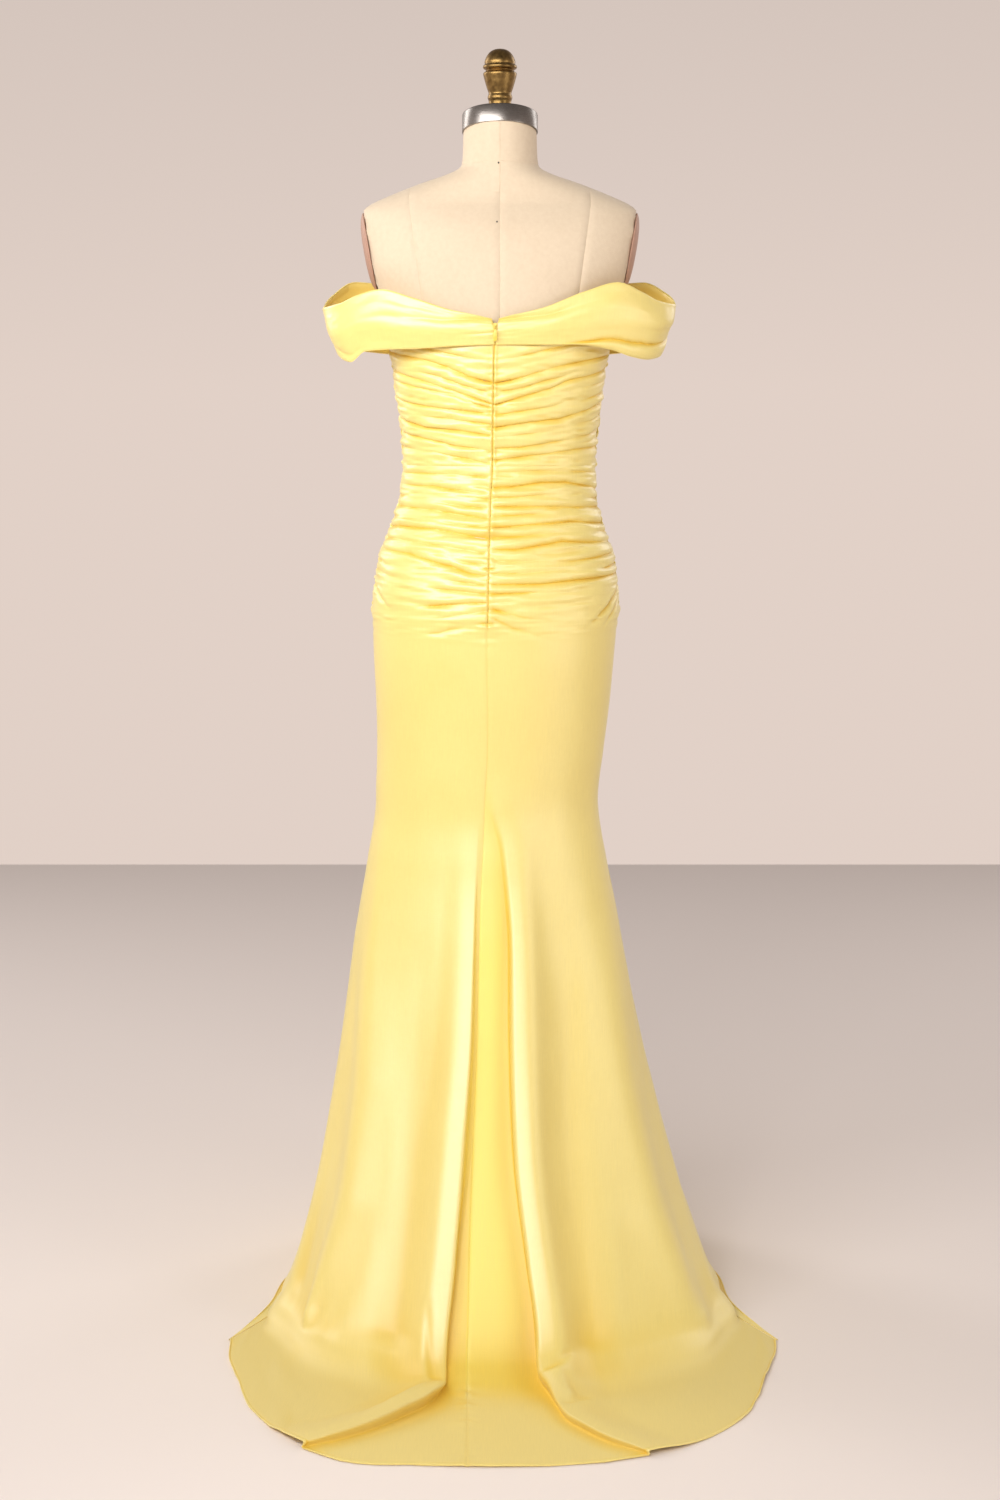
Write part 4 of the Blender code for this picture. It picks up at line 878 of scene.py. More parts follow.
def cloth_piece(node, points, lengths, valley=0.0, lying=0.0, zip_gap_shade=0.0):
    """A panel of cloth from a grid of points on its outer face, with its wall behind. Its UV
    map is in metres along the cloth. Valley marks the places between two deep folds, which get
    painted bounce light, lying those on the floor, which get painted shade, and zip gap shade
    the painted shade in the gap beside the zip. The inner face gets painted shade too."""
    grid = points.shape[:2]
    index = np.arange(grid[0] * grid[1]).reshape(grid)
    faces = np.stack(
        [index[:-1, :-1], index[1:, :-1], index[1:, 1:], index[:-1, 1:]], axis=-1
    ).reshape(-1, 4)
    piece = mesh_piece(node + "_cloth", points.reshape(-1, 3).tolist(), faces.tolist())
    mesh = piece.data
    layer = mesh.uv_layers.new(name="Cloth")
    layer.data.foreach_set("uv", lengths.reshape(-1, 2)[faces.ravel()].ravel())
    mesh.materials.append(MATERIALS["satin"])
    wall = piece.modifiers.new("Wall", "SOLIDIFY")
    wall.thickness = CLOTH
    wall.offset = -1
    apply_all(piece)
    places = np.empty(len(mesh.vertices) * 3)
    mesh.vertices.foreach_get("co", places)
    places[2::3] = np.maximum(places[2::3], 0.0)
    mesh.vertices.foreach_set("co", places)
    inside = INSIDE_SHADE * eased(from_edges(points) / LIGHT_EDGE)
    # Marks for the satin's painted colours: painted shade in deep creases, in the zip's gap and on
    # the inner face away from its edges, painted bounce light in the valley, and painted shade on
    # the lying cloth. The shader also makes these places rougher.
    for word, outer, inner in (
        ("Closed in", np.maximum(closed_in(points), zip_gap_shade), inside),
        ("Valley", valley, 0.0),
        ("Lying", lying, 0.0),
    ):
        marks = np.stack([np.broadcast_to(outer, grid), np.broadcast_to(inner, grid)])
        attribute = mesh.attributes.new(word, "FLOAT", "POINT")
        attribute.data.foreach_set("value", marks.ravel())
    bpy.ops.object.shade_smooth_by_angle(angle=math.radians(CLOTH_ANGLE))
    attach(piece, DRESS)
    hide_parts(node)
    return piece


def close_ends(count, closeness):
    """Shares from 0 to 1, closer together at both ends."""
    even = np.linspace(0.0, 1.0, count)
    return mix(even, 0.5 - 0.5 * np.cos(np.pi * even), closeness)


def slanted_rows(slant, step):
    """Close rows from a short table: distance down at the centre edge and at the side, and
    that their height is the figure's own."""
    centre, side = np.array(slant).T
    middle = (centre + side) / 2
    count = int((middle[0] - middle[-1]) / step) + 1
    want = np.linspace(middle[0], middle[-1], count)
    order = np.interp(-want, -middle, np.arange(len(slant)))
    keys = np.arange(len(slant))
    ends = (np.interp(order, keys, heights) for heights in (centre, side))
    return [(WAIST - a, WAIST - b, True) for a, b in zip(*ends)]


def centre_edge(height):
    """Half of the gap at the centre back: the zip's above its end, a seam's below."""
    return mix(SEAM_HALF, ZIP_HALF, smoothstep((height - ZIP_END + 0.004) / 0.008))


def back_row(distances, down, height, right):
    """Turn, distance from the seam and share of the way to the side, from the centre out."""
    side = 1 if right else -1
    length = quarter_length(down)
    seam = SEAM_LINE.at(down).aside
    start, width = centre_edge(height), length - SIDE_HALF - side * seam
    far = start + (width - start) * distances(down, width)
    return (seam + side * far) / length, side * far, (far - start) / (width - start), width


def lay_panel(rows, places_of):
    """Points of a panel and, for each, its height, three values of its own and its place
    down. The places of a row give, for each column, how far it slants towards the side, its
    turn, its distance from the centre-back seam and its own three values."""
    points, facts = [], []
    for centre_down, side_down, level in rows:
        row, fact = [], []
        for slope, turn, away, own in places_of(centre_down, side_down):
            down = round(mix(centre_down, side_down, slope), 6)
            point = skirt_point(down, turn, away)
            row.append(point if not level else (point[0], point[1], WAIST - down))
            fact.append((WAIST - down, *own, down))
        points.append(row)
        facts.append(fact)
    return np.array(points), np.moveaxis(np.array(facts), 2, 0)


def lay_back(right, rows, distances, slope_of):
    """A back panel, with each place's share and distance from the centre seam and the side."""

    def places_of(centre_down, side_down):
        """Columns of a row, from the centre out."""
        height = height_of(centre_down)
        turns, aways, shares, width = back_row(distances, centre_down, height, right)
        for turn, away, share in zip(turns, aways, shares):
            own = (share, abs(away), width - abs(away))
            yield slope_of(share), float(turn), float(away), own

    points, facts = lay_panel(rows, places_of)
    return (points, facts) if right else (points[:, ::-1], facts[..., ::-1])


def seam_relief(beside_seam, below_zip, beside_side, height, lying):
    """Shallow grooves at the seams, the zip's raised edge and the seams' fine puckers."""
    edge = ZIP_LIP * bell(beside_seam, *ZIP_LIP_PLACE) * (1 - below_zip)
    deep = mix(ZIP_GROOVE, SEAM_GROOVE, below_zip) + FLOOR_GROOVE * lying
    edge -= deep * bell(beside_seam, 0.0, SEAM_GROOVE_HALF)
    edge -= groove(beside_side, SIDE_GROOVE)
    pucker = streaks(beside_seam * 30, height * 190, 11) * np.exp(-beside_seam / 0.007)
    side_pucker = streaks(beside_side * 30, height * 150, 12) * np.exp(-beside_side / 0.006)
    edge += 0.00024 * (1 + 4.5 * lying) * pucker + 0.00018 * side_pucker
    return edge


def zip_shade(beside_seam):
    """Shade in the narrow gap at the zip, as a share of a deep crease's."""
    return 0.7 * bell(beside_seam, 0.0, 0.0013)


def shaped(points, relief, sink):
    """A grid of points raised by its relief and lowered by what it sinks."""
    points = points + grid_normals(points) * relief[..., None]
    points[..., 2] -= sink
    return points


def gather_sink(droop, height):
    """How far the gathers sink, less at the waist seam that holds them."""
    return droop * DROOP_SHARE * eased(abs(height - WAIST) / DROOP_SPAN)


def gather_relief(lines, share, height, beside_seam, beside_side, seed, strength, other=None):
    """Main gathers, the fine ones between them, and the small pinched ones at the seams.
    Other is the gathers across the zip, which these run into."""
    depth, droop = gathers(lines, share, height)
    if other is not None:
        here, there = (gathers(each, 0.0 * share, height)[0] for each in (lines, other))
        depth += 0.5 * (there - here) * np.exp(-beside_seam / 0.006)
    held = (0.50 + 0.50 * eased(beside_seam / 0.005)) * (0.35 + 0.65 * eased(beside_side / 0.006))
    depth = 1.4 * depth * held + 0.0014 * strength
    fine = 0.00075 * streaks(share * 4.5 + 5, height * 135 - share * 2, seed)
    fine += 0.00045 * streaks(share * 9 + 9, height * 270, seed + 1)
    pinch = 0.0014 * streaks(share * 9, height * 190, seed + 2) * np.exp(-beside_seam / 0.014)
    at_side = np.exp(-beside_side / 0.014)
    pinch += 0.0011 * streaks(share * 9 + 30, height * 180, seed + 3) * at_side
    return depth + (fine + pinch * held) * strength, 1.3 * droop * held * strength


def add_back_bodice(right, name, lines, other, seed):
    """Ruched back panel from under the band to the waist seam."""
    rows = slanted_rows(BODICE_SLANT, BACK_STEP)
    spread = close_ends(84, 0.75)
    points, facts = lay_back(right, rows, lambda down, width: spread, smoothstep)
    height, share, beside_seam, beside_side = facts[:4]
    relief, droop = gather_relief(
        lines, share, height, beside_seam, beside_side, seed, 1.0, other
    )
    relief += seam_relief(beside_seam, 0.0, beside_side, height, 0.0)
    relief -= groove(height - WAIST, WAIST_GROOVE)
    points = shaped(points, relief, gather_sink(droop, height))
    lengths = np.stack([beside_seam * (1 if right else -1), height], axis=-1)
    return cloth_piece(name, points, lengths, zip_gap_shade=zip_shade(beside_seam))


def fold_columns(right):
    """Columns of a back skirt panel, close together around the deep fold's crest."""
    parts = (12, 20, 12, 82)

    def distances(down, width):
        """Distances of a row's columns as shares of its width."""
        (crest,) = sided(BACK_FOLDS.at(down), right, "crest")
        wide = fold_width(crest)
        stops = (0.0, crest - wide, crest + 1.2 * wide, crest + 3.0 * wide, width)
        found = [0.0]
        for number, (a, b, count) in enumerate(zip(stops, stops[1:], parts)):
            steps = np.linspace(0.0, 1.0, count + 1)[1:]
            if number == 0:
                steps = steps**1.5
            if number == 3:
                steps = mix(steps, np.sin(steps * np.pi / 2), 0.35)
            found += list(a + (b - a) * steps)
        return np.array(found) / width

    return distances


# The rolled hem: its rise, width and rounding, the depth of the stitched groove above it with
# its distance from the edge and half width, and the width of its edge that is kept out of the
# painted shade of the lying cloth
HEM_RISE, HEM_WIDTH, HEM_ROUND = 0.0012, 0.0046, 0.0014
HEM_GROOVE, HEM_GROOVE_PLACE = 0.0005, (0.0056, 0.0012)
LIGHT_HEM = 0.0030

# Lengths over which a free fold of the skirt grows, fades, and is gone before its end
FREE_GROW, FREE_FADE, FREE_GONE = 0.32, 0.026, 0.022

# Rows of the skirt below the gathers: start, end and step of each stretch, as distance down,
# and the last rows at the rolled hem
SKIRT_SPANS = (
    (0.246, 0.60, 0.009), (0.60, 1.090, 0.0085), (1.092, 1.160, 0.0030), (1.160, 1.366, 0.0048)
)
HEM_LEVELS = (1.3668, 1.3685, 1.3700, 1.3712, 1.3725, 1.3738, 1.3750)


def skirt_rows():
    """Rows of the skirt, slanted on the ruched hip, level below and close near the hem."""
    levels = [np.arange(*span) for span in SKIRT_SPANS] + [HEM_LEVELS]
    level_rows = [(float(down), float(down), False) for down in np.concatenate(levels)]
    return slanted_rows(HIP_SLANT, HIP_STEP) + level_rows


def skirt_states(down, height):
    """How far each place of the skirt lies on the floor, and how far it is ruched."""
    return eased((down - WAIST) / LYING_SPAN), eased((height - RUCHED_END) / RUCHED_SPAN)


def hem_relief(down):
    """The narrow rolled hem: a raised edge with a stitched groove above it."""
    from_edge = HEM_DOWN - down
    edge = HEM_RISE * eased((HEM_WIDTH - from_edge) / HEM_ROUND)
    return edge - HEM_GROOVE * bell(from_edge, *HEM_GROOVE_PLACE)


def soft_wrinkles(around, down, seed):
    """Faint uneven swells of cloth that hangs free, longer down than across."""
    hanging = eased((down - 0.20) / 0.25) * (1 - 0.5 * eased((down - 1.0) / 0.15))
    wide = 0.0011 * streaks(around * 16 + 3, down * 2.3, seed)
    fine = 0.00035 * streaks(around * 45, down * 6.5 + 20, seed + 1)
    return (wide + fine) * hanging


def free_folds(folds, down, share, width):
    """Relief of the soft folds that run down the skirt."""
    relief = np.zeros_like(down)
    for rise, places in folds:
        downs, shares, halves = np.array(places).T
        middle, half = np.interp(down, downs, shares), np.interp(down, downs, halves) * 0.001
        grown = eased((down - downs[0]) / FREE_GROW)
        grown *= 1 - eased((down - downs[-1] + FREE_GONE) / FREE_FADE)
        relief += 0.001 * rise * grown * bell((share - middle) * width, 0.0, half)
    return relief


def short_creases(creases, down, beside_seam):
    """Relief of short creases, each a line between places on the cloth that fades at its ends."""
    relief = np.zeros_like(down)
    for rise, half, start, end in creases:
        run, across = end[0] - start[0], end[1] - start[1]
        length = math.hypot(run, across)
        along = ((down - start[0]) * run + (beside_seam - start[1]) * across) / length ** 2
        aside = ((down - start[0]) * across - (beside_seam - start[1]) * run) / length
        ends = eased((along + 0.15) / 0.3) * eased((1.15 - along) / 0.3)
        relief += 0.001 * rise * ends * bell(aside, 0.0, 0.001 * half)
    return relief


def crest_roll(down, beside_seam, right):
    """The soft roll along each deep fold, and the mark of the valley between them."""
    folds = [sided(BACK_FOLDS.at(float(d)), right, "crest", "rise") for d in down.ravel()]
    crests, rises = (np.array(column).reshape(down.shape) for column in zip(*folds))
    past = beside_seam - crests
    share, middle, width = HANGING_ROLL
    share = share if right else 0.75 * share
    hanging = share * rises * bell(past, middle, width)
    share, middle, width = LYING_ROLL
    lying = share * np.minimum(rises, 0.008) * bell(past, middle, width)
    on_floor = eased((down - WAIST) / 0.05)
    roll = hanging * (1 - on_floor) + lying * on_floor
    inner = 1 - eased(past / FOLD_WIDTH + 1)
    return roll, inner * np.clip(rises / 0.012, 0, 1)


def hem_lift(points, down, around, seed):
    """The hem lies in small waves, a little off the floor here and there."""
    near = eased((down - 1.28) / 0.09)
    wave = np.clip(streaks(around * 24, down * 9, seed), 0.0, 1.6)
    points[..., 2] += 0.0018 * near * wave
    outward = points[-1] - points[-8]
    outward[:, 2] = 0.0
    outward /= np.maximum(np.linalg.norm(outward, axis=-1, keepdims=True), 1e-6)
    ripple = 0.0013 * streaks(around * 42, down * 3, seed + 3) * eased((down - 1.36) / 0.025)
    points += outward[None] * (ripple * eased((abs(around - 1.0) - 0.02) / 0.05))[..., None]
    points[..., 2] = np.maximum(points[..., 2], CLOTH)


def add_back_skirt(right, name, lines, other, seed):
    """Back skirt panel: ruched at the hip, deep folds, and the train on the floor."""
    points, facts = lay_back(right, skirt_rows(), fold_columns(right), lambda share: share)
    height, share, beside_seam, beside_side, down = facts
    lying, ruched = skirt_states(down, height)
    relief, droop = gather_relief(
        lines, share, height, beside_seam, beside_side, seed, ruched, other
    )
    below_zip = eased((ZIP_END - height) / 0.006)
    relief += seam_relief(beside_seam, below_zip, beside_side, height, lying)
    relief -= groove(height - WAIST, WAIST_GROOVE)
    side = 1 if right else -1
    around = side * beside_seam + 1.0
    relief += soft_wrinkles(around, down, seed + 7) * (1 - lying)
    folds = FREE_FOLDS_RIGHT if right else FREE_FOLDS_LEFT
    relief += free_folds(folds, down, share, beside_seam + beside_side)
    roll, valley = crest_roll(down, beside_seam, right)
    creases = FLOOR_CREASES_RIGHT if right else FLOOR_CREASES_LEFT
    relief += short_creases(creases, down, beside_seam)
    uneven = 0.0005 * eased((down - 1.18) / 0.06)
    relief += roll + uneven * streaks(beside_seam * 18, down * 16, seed + 9)
    swell, half = BEND_SWELL
    relief += swell * bell(down, WAIST + 0.004, half) * eased((beside_seam - 0.085) / 0.05)
    relief += hem_relief(down)
    points = shaped(points, relief, gather_sink(droop, height))
    hem_lift(points, down, around, seed + 10)
    lengths = np.stack([beside_seam * side, WAIST - down], axis=-1)
    # Painted shade of the lying cloth, left off the rolled hem's edge; below, the painted shade in
    # the zip's gap
    on_floor = eased((down - WAIST + 0.030) / 0.090)
    on_floor *= eased((HEM_DOWN - LIGHT_HEM - down) / LIGHT_HEM)
    shade = zip_shade(beside_seam) * (1 - 0.75 * below_zip)
    return cloth_piece(name, points, lengths, valley, on_floor, shade)


def lay_front(rows, shares, bodice):
    """A front panel, with each place's share, distance from the nearer side seam and place
    across."""

    def places_of(centre_down, side_down):
        """Columns of a row, from the right side seam to the left."""
        length = quarter_length(side_down, front=True)
        for share in shares:
            slope = mix(0.35, 1.0, abs(share))
            turn = float(2 + share * (1 - SIDE_HALF / length))
            own = (-share, (1 - abs(share)) * length + SIDE_HALF, -share * length)
            yield smoothstep(slope) if bodice else slope, turn, None, own

    return lay_panel(rows, places_of)


def front_gathers(across, height, beside_side, strength):
    """Relief and droop of the front's gathers."""
    lines = front_lines(BODICE_FRONT + HIP_FRONT)
    return gather_relief(lines, across, height, beside_side, beside_side, 41, strength)


def add_front_bodice():
    """Ruched front of the bodice, finished like the back."""
    shares = 2 * close_ends(136, 0.6) - 1
    points, facts = lay_front(slanted_rows(BODICE_SLANT, FRONT_STEP), shares, True)
    height, across, beside_side, along = facts[:4]
    relief, droop = front_gathers(across, height, beside_side, 1.0)
    relief += seam_relief(beside_side, 0.0, beside_side, height, 0.0) * 0.5
    relief -= groove(height - WAIST, WAIST_GROOVE)
    points = shaped(points, relief, gather_sink(droop, height))
    return cloth_piece("bodice_front", points, np.stack([along, height], axis=-1))


def add_front_skirt():
    """Front skirt panel: ruched at the hip like the back, then smooth to the hem."""
    shares = 2 * close_ends(112, 0.55) - 1
    points, facts = lay_front(skirt_rows(), shares, False)
    height, across, beside_side, along, down = facts
    lying, ruched = skirt_states(down, height)
    relief, droop = front_gathers(across, height, beside_side, ruched)
    relief -= groove(beside_side, SIDE_GROOVE)
    relief -= groove(height - WAIST, WAIST_GROOVE)
    relief += soft_wrinkles(along + 3.0, down, 57) * (1 - lying)
    width = abs(along) / np.maximum(abs(across), 1e-6)
    relief += free_folds(FREE_FOLDS_FRONT, down, across, width)
    relief += hem_relief(down) * eased(beside_side / 0.03)
    points = shaped(points, relief, gather_sink(droop, height))
    points[..., 2] = np.maximum(points[..., 2], CLOTH)
    return cloth_piece("skirt_front", points, np.stack([along, WAIST - down], axis=-1))


# Length and height of half of the back band and of half of the front band, for the UV map
BACK_BAND_SIZE = (0.29, 0.08)
FRONT_BAND_SIZE = (0.33, 0.09)


def band_levels():
    """Levels of the band from its top edge to its bottom edge."""
    return 1 - close_ends(56, 0.45)


def band_relief(lines, along, level, fold, seed):
    """Pleats of the band and its soft unevenness. Fold is the level of its long fold."""
    depth, droop = gathers(lines, along, level, 0.065)
    soft = 0.0005 * streaks(along * 6 + 4, level * 4, seed)
    soft += 0.00015 * streaks(along * 20, level * 14 + 9, seed + 1)
    strength = eased((fold - 0.03) / 0.10)
    crease = -0.0030 * bell(level, fold, 0.045) * strength
    lip = 0.0035 * eased((level - fold) / 0.02) * (1 - eased((level - fold - 0.03) / 0.12))
    rim = -0.0012 * eased((level - 0.975) / 0.025) - 0.0010 * eased((0.03 - level) / 0.03)
    return depth + soft + crease + rim, droop * 0.4 + lip * strength


def add_back_band(right, name, lines, seed):
    """Half of the back band, from the zip to the outer arm."""
    alongs, levels = mix(0.0016, 0.9995, close_ends(118, 0.35)), band_levels()
    if not right:
        alongs = alongs[::-1]
    points = np.array(
        [[band_point(float(a), float(level), right, False) for a in alongs] for level in levels]
    )
    along, level = np.meshgrid(alongs, levels)
    fold = np.interp(along, *zip(*BAND_FOLD)) if right else np.zeros_like(along)
    relief, droop = band_relief(lines, along, level, fold, seed)
    relief -= 0.0008 * bell(along, 0.0, 0.004)
    points = shaped(points, relief, droop)
    run = along * BACK_BAND_SIZE[0]
    lengths = np.stack([run, level * BACK_BAND_SIZE[1]], axis=-1)
    return cloth_piece(name, points, lengths, zip_gap_shade=zip_shade(run))


def add_front_band():
    """Front band, from the right outer arm across to the left one."""
    half = mix(0.0005, 1.0, close_ends(100, 0.2))
    levels = band_levels()
    rows = []
    for level in levels:
        row = [band_point(float(a), float(level), True, True) for a in half]
        row += [band_point(float(a), float(level), False, True) for a in half[-2::-1]]
        rows.append(row)
    points = np.array(rows)
    across, level = np.meshgrid(np.concatenate([1 - half, half[-2::-1] - 1]), levels)
    fold = np.full_like(across, 0.25)
    relief, droop = band_relief(BAND_FRONT_PLEATS, across, level, fold, 71)
    points = shaped(points, relief, droop)
    lengths = np.stack([across * FRONT_BAND_SIZE[0], level * FRONT_BAND_SIZE[1]], axis=-1)
    return cloth_piece("band_front", points, lengths)


# Materials


def new_group(name, given, results):
    """A node group, its inputs and the node that takes its outputs. Each input is named with
    its value, and the place, which has none; each output with its kind."""
    group = bpy.data.node_groups.new(name, "ShaderNodeTree")
    for label, value in given.items():
        kind = {type(None): "Vector", float: "Float", tuple: "Color"}[type(value)]
        socket = group.interface.new_socket(label, socket_type="NodeSocket" + kind)
        if value is not None:
            socket.default_value = value
    for label, kind in results.items():
        group.interface.new_socket(label, in_out="OUTPUT", socket_type="NodeSocket" + kind)
    inputs = group.nodes.new("NodeGroupInput").outputs
    return group, inputs, group.nodes.new("NodeGroupOutput").inputs


def join(tree, socket, value):
    """Links an output to a socket, or sets the socket to a value."""
    if isinstance(value, bpy.types.NodeSocket):
        tree.links.new(value, socket)
    elif value is not None:
        socket.default_value = value


def add_node(tree, kind, inputs, **settings):
    """A node of a kind with its settings and its joined inputs; returns its outputs."""
    node = tree.nodes.new("ShaderNode" + kind)
    for name, value in settings.items():
        setattr(node, name, value)
    for label, value in inputs.items():
        join(tree, node.inputs[label], value)
    return node.outputs


def math_node(tree, operation, first, second=None, clamp=False):
    """The result of a Math node."""
    inputs = {0: first, 1: second}
    return add_node(tree, "Math", inputs, operation=operation, use_clamp=clamp)[0]


def mix_colour(tree, factor, first, second):
    """A mix of two colours."""
    return add_node(tree, "Mix", {0: factor, 6: first, 7: second}, data_type="RGBA")[2]


def noise_node(tree, vector, scale, detail, roughness=0.5):
    """Noise from 0 to 1."""
    inputs = {"Vector": vector, "Scale": scale, "Detail": detail, "Roughness": roughness}
    return add_node(tree, "TexNoise", inputs)["Fac"]


def stretched(tree, vector, scale):
    """A place stretched by a scale of its own along each axis."""
    return add_node(tree, "VectorMath", {0: vector, 1: scale}, operation="MULTIPLY")[0]


def shift_range(tree, value, low, high, start=0.0, end=1.0):
    """A value between start and end brought between two others."""
    inputs = {"Value": value, "From Min": start, "From Max": end, "To Min": low, "To Max": high}
    return add_node(tree, "MapRange", inputs)[0]


def weave_group():
    """Woven threads: over and under bumps, and slubs along the threads."""
    group, given, out = new_group(
        "Woven threads",
        {
            "Vector": None, "Warp threads per metre": 3000.0,
            "Weft threads per metre": 3000.0, "Float": 1.0,
        },
        {"Height": "Float", "Slubs": "Float"},
    )
    vector = given["Vector"]
    x, y, _ = add_node(group, "SeparateXYZ", {0: vector})
    warp = math_node(group, "MULTIPLY", x, given["Warp threads per metre"])
    weft = math_node(group, "MULTIPLY", y, given["Weft threads per metre"])
    lean = math_node(group, "MULTIPLY", weft, given["Float"])
    first, second = (
        math_node(group, "SINE", math_node(group, "MULTIPLY", threads, math.pi))
        for threads in (warp, math_node(group, "ADD", warp, lean))
    )
    slubs = noise_node(group, stretched(group, vector, (900.0, 35.0, 900.0)), 1.0, 3.0)
    join(group, out["Height"], math_node(group, "MULTIPLY", first, second))
    join(group, out["Slubs"], slubs)
    return group


def tone_group():
    """Uneven tone: slow patches and fine mottling between two colours."""
    group, given, out = new_group(
        "Uneven tone",
        {
            "Vector": None, "Light colour": (1, 1, 1, 1), "Deep colour": (0.5, 0.5, 0.5, 1),
            "Fine share": 0.3,
        },
        {"Color": "Color", "Mask": "Float"},
    )
    vector, light, deep, share = (given[i] for i in range(4))
    slow = noise_node(group, vector, 9.0, 3.0)
    fine = noise_node(group, vector, 160.0, 4.0, 0.6)
    slow = math_node(group, "MULTIPLY", slow, math_node(group, "SUBTRACT", 1.0, share))
    fine = math_node(group, "MULTIPLY", fine, share)
    mask = math_node(group, "ADD", slow, fine, clamp=True)
    mask = shift_range(group, mask, 0.0, 1.0, 0.35, 0.65)
    join(group, out["Color"], mix_colour(group, mask, deep, light))
    join(group, out["Mask"], mask)
    return group


def brushed_group():
    """Fine brushed lines that run along X and Y, for turned and brushed metal."""
    group, given, out = new_group(
        "Brushed lines", {"Vector": None, "Lines": 1.0}, {"Height": "Float", "Mask": "Float"}
    )
    vector = given["Vector"]
    lines = noise_node(group, stretched(group, vector, (14.0, 14.0, 1500.0)), 1.0, 4.0, 0.7)
    scuff = noise_node(group, vector, 60.0, 5.0, 0.65)
    join(group, out["Height"], math_node(group, "MULTIPLY", lines, given["Lines"]))
    join(group, out["Mask"], math_node(group, "MULTIPLY", lines, scuff))
    return group


MATERIALS = {}


def new_material(name, uv=None):
    """A material with its shader, and the socket that its patterns read their place from."""
    material = bpy.data.materials.new(name)
    material.use_nodes = True
    tree = material.node_tree
    if uv:
        vector = add_node(tree, "UVMap", {}, uv_map=uv)["UV"]
    else:
        vector = add_node(tree, "TexCoord", {})["Object"]
    MATERIALS[name] = material
    return tree, tree.nodes["Principled BSDF"], vector


def spaced(values):
    """Values under their labels, from names with underscores."""
    return {label.replace("_", " "): value for label, value in values.items()}


def placed(tree, group, vector, **values):
    """A group placed in a material with its own values; returns its outputs."""
    return add_node(tree, "Group", {"Vector": vector, **spaced(values)}, node_tree=group)


def finish(tree, shader, bump, **values):
    """Joins a shader's inputs, and its bump of a height, a distance and a strength."""
    for label, value in spaced(values).items():
        join(tree, shader.inputs[label], value)
    height, distance, strength = bump
    inputs = {"Height": height, "Distance": distance, "Strength": strength}
    join(tree, shader.inputs["Normal"], add_node(tree, "Bump", inputs)["Normal"])


# Painted colours of the satin: painted shade deep in a crease, painted bounce light in the valley
# between the two deep folds, and painted shade where it lies on the floor
CREASE_PAINTED_SHADE = (0.82, 0.54, 0.030, 1)
VALLEY_PAINTED_BOUNCE_LIGHT = (0.96, 0.79, 0.11, 1)
LYING_PAINTED_SHADE = (0.80, 0.635, 0.205, 1)

# Plain finishes: light and deep colour, range of roughness, and metal
PLAIN_FINISHES = (
    ("zip yellow", (0.84, 0.66, 0.13, 1), (0.76, 0.57, 0.09, 1), (0.22, 0.34), 0.0),
    # The zip's coils are a darker copy of the zip's yellow: painted shade in the gap between the
    # zip's edges
    ("zip coils in painted shade", (0.58, 0.43, 0.065, 1), (0.48, 0.345, 0.05, 1), (0.30, 0.42), 0.0),
    ("arm plate", (0.50, 0.30, 0.215, 1), (0.42, 0.24, 0.17, 1), (0.50, 0.68), 0.0),
    ("old brass", (0.33, 0.205, 0.070, 1), (0.13, 0.078, 0.028, 1), (0.20, 0.48), 1.0),
    ("cast iron", (0.040, 0.040, 0.042, 1), (0.025, 0.025, 0.027, 1), (0.45, 0.62), 0.3),
    ("tack", (0.10, 0.09, 0.08, 1), (0.06, 0.055, 0.05, 1), (0.35, 0.5), 0.6),
)
BRUSHED_FINISHES = (
    ("brushed nickel", (0.34, 0.31, 0.285, 1), (0.22, 0.20, 0.185, 1)),
    ("steel tube", (0.60, 0.60, 0.60, 1), (0.50, 0.50, 0.50, 1)),
)


